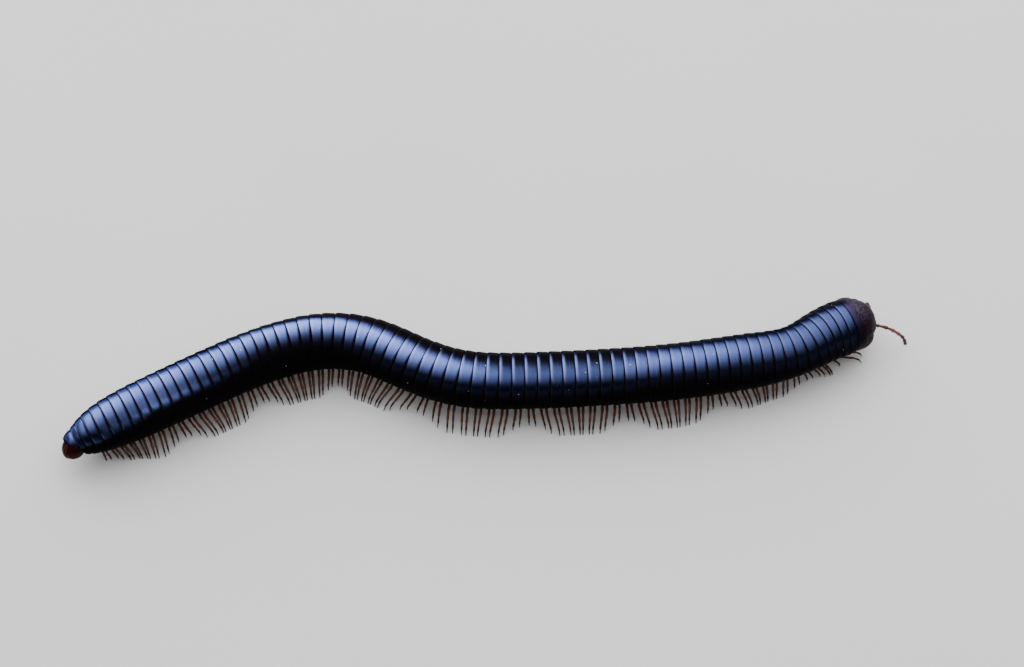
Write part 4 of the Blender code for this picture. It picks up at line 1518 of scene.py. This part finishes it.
class MILLIPEDE_OT_tail_end(bpy.types.Operator):
    """Models the last ring with its hood, the two valves under it and the small plate below them"""

    bl_idname = "millipede.tail_end"
    bl_label = "Tail end"

    def execute(self, context):
        place = frame_at(RING_STARTS[RINGS])
        turned_place = place @ TURNED
        ring_rear = TURNED.inverted() @ FORWARD
        beside_ring = (ring_rear * -SEAM, ring_rear)
        under_hood = (VALVE_POINT + VALVE_NORMAL * WIDE_SLIT * GAP, -VALVE_NORMAL)

        radius = body_radius(RING_STARTS[RINGS])
        profile = [(-SEAM - x * TELSON_RING, share * radius) for x, share in TELSON_PROFILE]
        hood = turned(profile, RING_SIDES)
        close_up(hood)
        points = points_of(hood)
        mark_sheen(hood, points, RINGS)
        turn = TELSON_TURN * np.minimum(1, -points[:, 0] / TELSON_RING)
        x = points[:, 0] * np.cos(turn) - points[:, 1] * np.sin(turn)
        y = points[:, 0] * np.sin(turn) + points[:, 1] * np.cos(turn)
        points = np.stack([x, y, points[:, 2]], axis=1)
        set_points(hood, points)
        point, normal = TURNED @ VALVE_POINT, TURNED @ VALVE_NORMAL
        beyond = (points - np.array(point)) @ np.array(normal)
        mark(hood, "edge", np.clip(1.2 + beyond / (0.5 * MM), 0, 1))
        cut_off(hood, point, normal)
        paint = paint_named("telson_shell", telson_paint)
        finished(hood, "telson_hood", paint, ["telson"], place)

        def plain(point):
            return uneven(point, 700, 0.02 * MM)

        def lipped(point):
            y = abs(point[1])
            lip = 0.13 * MM * bell(y - 0.28 * MM, 0.2 * MM)
            return lip - 0.07 * MM * bell(y - 0.68 * MM, 0.12 * MM) + plain(point)

        red = paint_named("valve_horn", valve_paint)
        roots = []
        for side, name in SIDES:
            valve = ball(VALVE_CENTRE, VALVE_HALF, 120, 80)
            points = grained(valve, lipped)
            mark(valve, "edge", 0.8 * bell(np.abs(points[:, 1]) - 0.25 * MM, 0.22 * MM))
            normals = normals_of(valve)
            for level in BRISTLE_LEVELS:
                away = np.abs(points[:, 1] - side * 0.3 * MM) + np.abs(points[:, 2] - level)
                nearest = np.argmin(away + (points[:, 0] > -2 * MM))
                roots.append((Vector(points[nearest]), Vector(normals[nearest])))
            cut_off(valve, *under_hood)
            cut_off(valve, *beside_ring)
            cut_off(valve, (0, side * 0.03 * MM, 0), (0, -side, 0))
            cut_off(valve, (0, 0, SCALE_LEVEL + 0.03 * MM), (0, 0, -1))
            nodes = [f"anal_valve_{name}"]
            finished(valve, f"valve_{name}", red, nodes, turned_place)
        hairs = bristles(roots, 0.7 * MM, 0.05 * MM)
        paint = paint_named("bristle", bristle_paint)
        finished(hairs, "valve_bristles", paint, [], turned_place, 60)

        plate = ball(VALVE_CENTRE, VALVE_HALF, 96, 64)
        points = grained(plate, plain)
        mark(plate, "edge", np.clip((-3.2 * MM - points[:, 0]) / (0.5 * MM), 0, 1))
        cut_off(plate, (0, 0, SCALE_LEVEL - 0.03 * MM), (0, 0, 1))
        cut_off(plate, *beside_ring)
        cut_off(plate, *under_hood)
        jaw = context.scene.millipede_colours.jaw
        paint = horn("tail_plate_horn", jaw, JAW_DARK, 0.36, specks=False)
        finished(plate, "tail_plate", paint, ["tail_scale"], turned_place)
        return {"FINISHED"}


PIECES = (
    MILLIPEDE_OT_studio,
    MILLIPEDE_OT_rings,
    MILLIPEDE_OT_legs,
    MILLIPEDE_OT_collum,
    MILLIPEDE_OT_head,
    MILLIPEDE_OT_jaws,
    MILLIPEDE_OT_eyes,
    MILLIPEDE_OT_antennae,
    MILLIPEDE_OT_tail_end,
)
GROUPS = {
    "millipede_body": MillipedeBody,
    "millipede_colours": MillipedeColours,
    "millipede_studio": MillipedeStudio,
}


class MILLIPEDE_PT_panel(bpy.types.Panel):
    """Sizes, colours and steps of the millipede"""

    bl_idname = "MILLIPEDE_PT_panel"
    bl_label = "Giant millipede"
    bl_space_type = "VIEW_3D"
    bl_region_type = "UI"
    bl_category = "Millipede"

    def draw(self, context):
        layout = self.layout
        for key, group in GROUPS.items():
            box = layout.box()
            for name in group.__annotations__:
                box.prop(getattr(context.scene, key), name)
        for piece in PIECES:
            layout.operator(piece.bl_idname)


def register():
    for kind in (*GROUPS.values(), *PIECES, MILLIPEDE_PT_panel):
        bpy.utils.register_class(kind)
    for key, group in GROUPS.items():
        setattr(bpy.types.Scene, key, bpy.props.PointerProperty(type=group))


def unregister():
    for key in GROUPS:
        delattr(bpy.types.Scene, key)
    for kind in (MILLIPEDE_PT_panel, *reversed(PIECES), *GROUPS.values()):
        bpy.utils.unregister_class(kind)


def main():
    register()
    for piece in PIECES:
        group, name = piece.bl_idname.split(".")
        getattr(getattr(bpy.ops, group), name)()


if __name__ == "__main__":
    main()
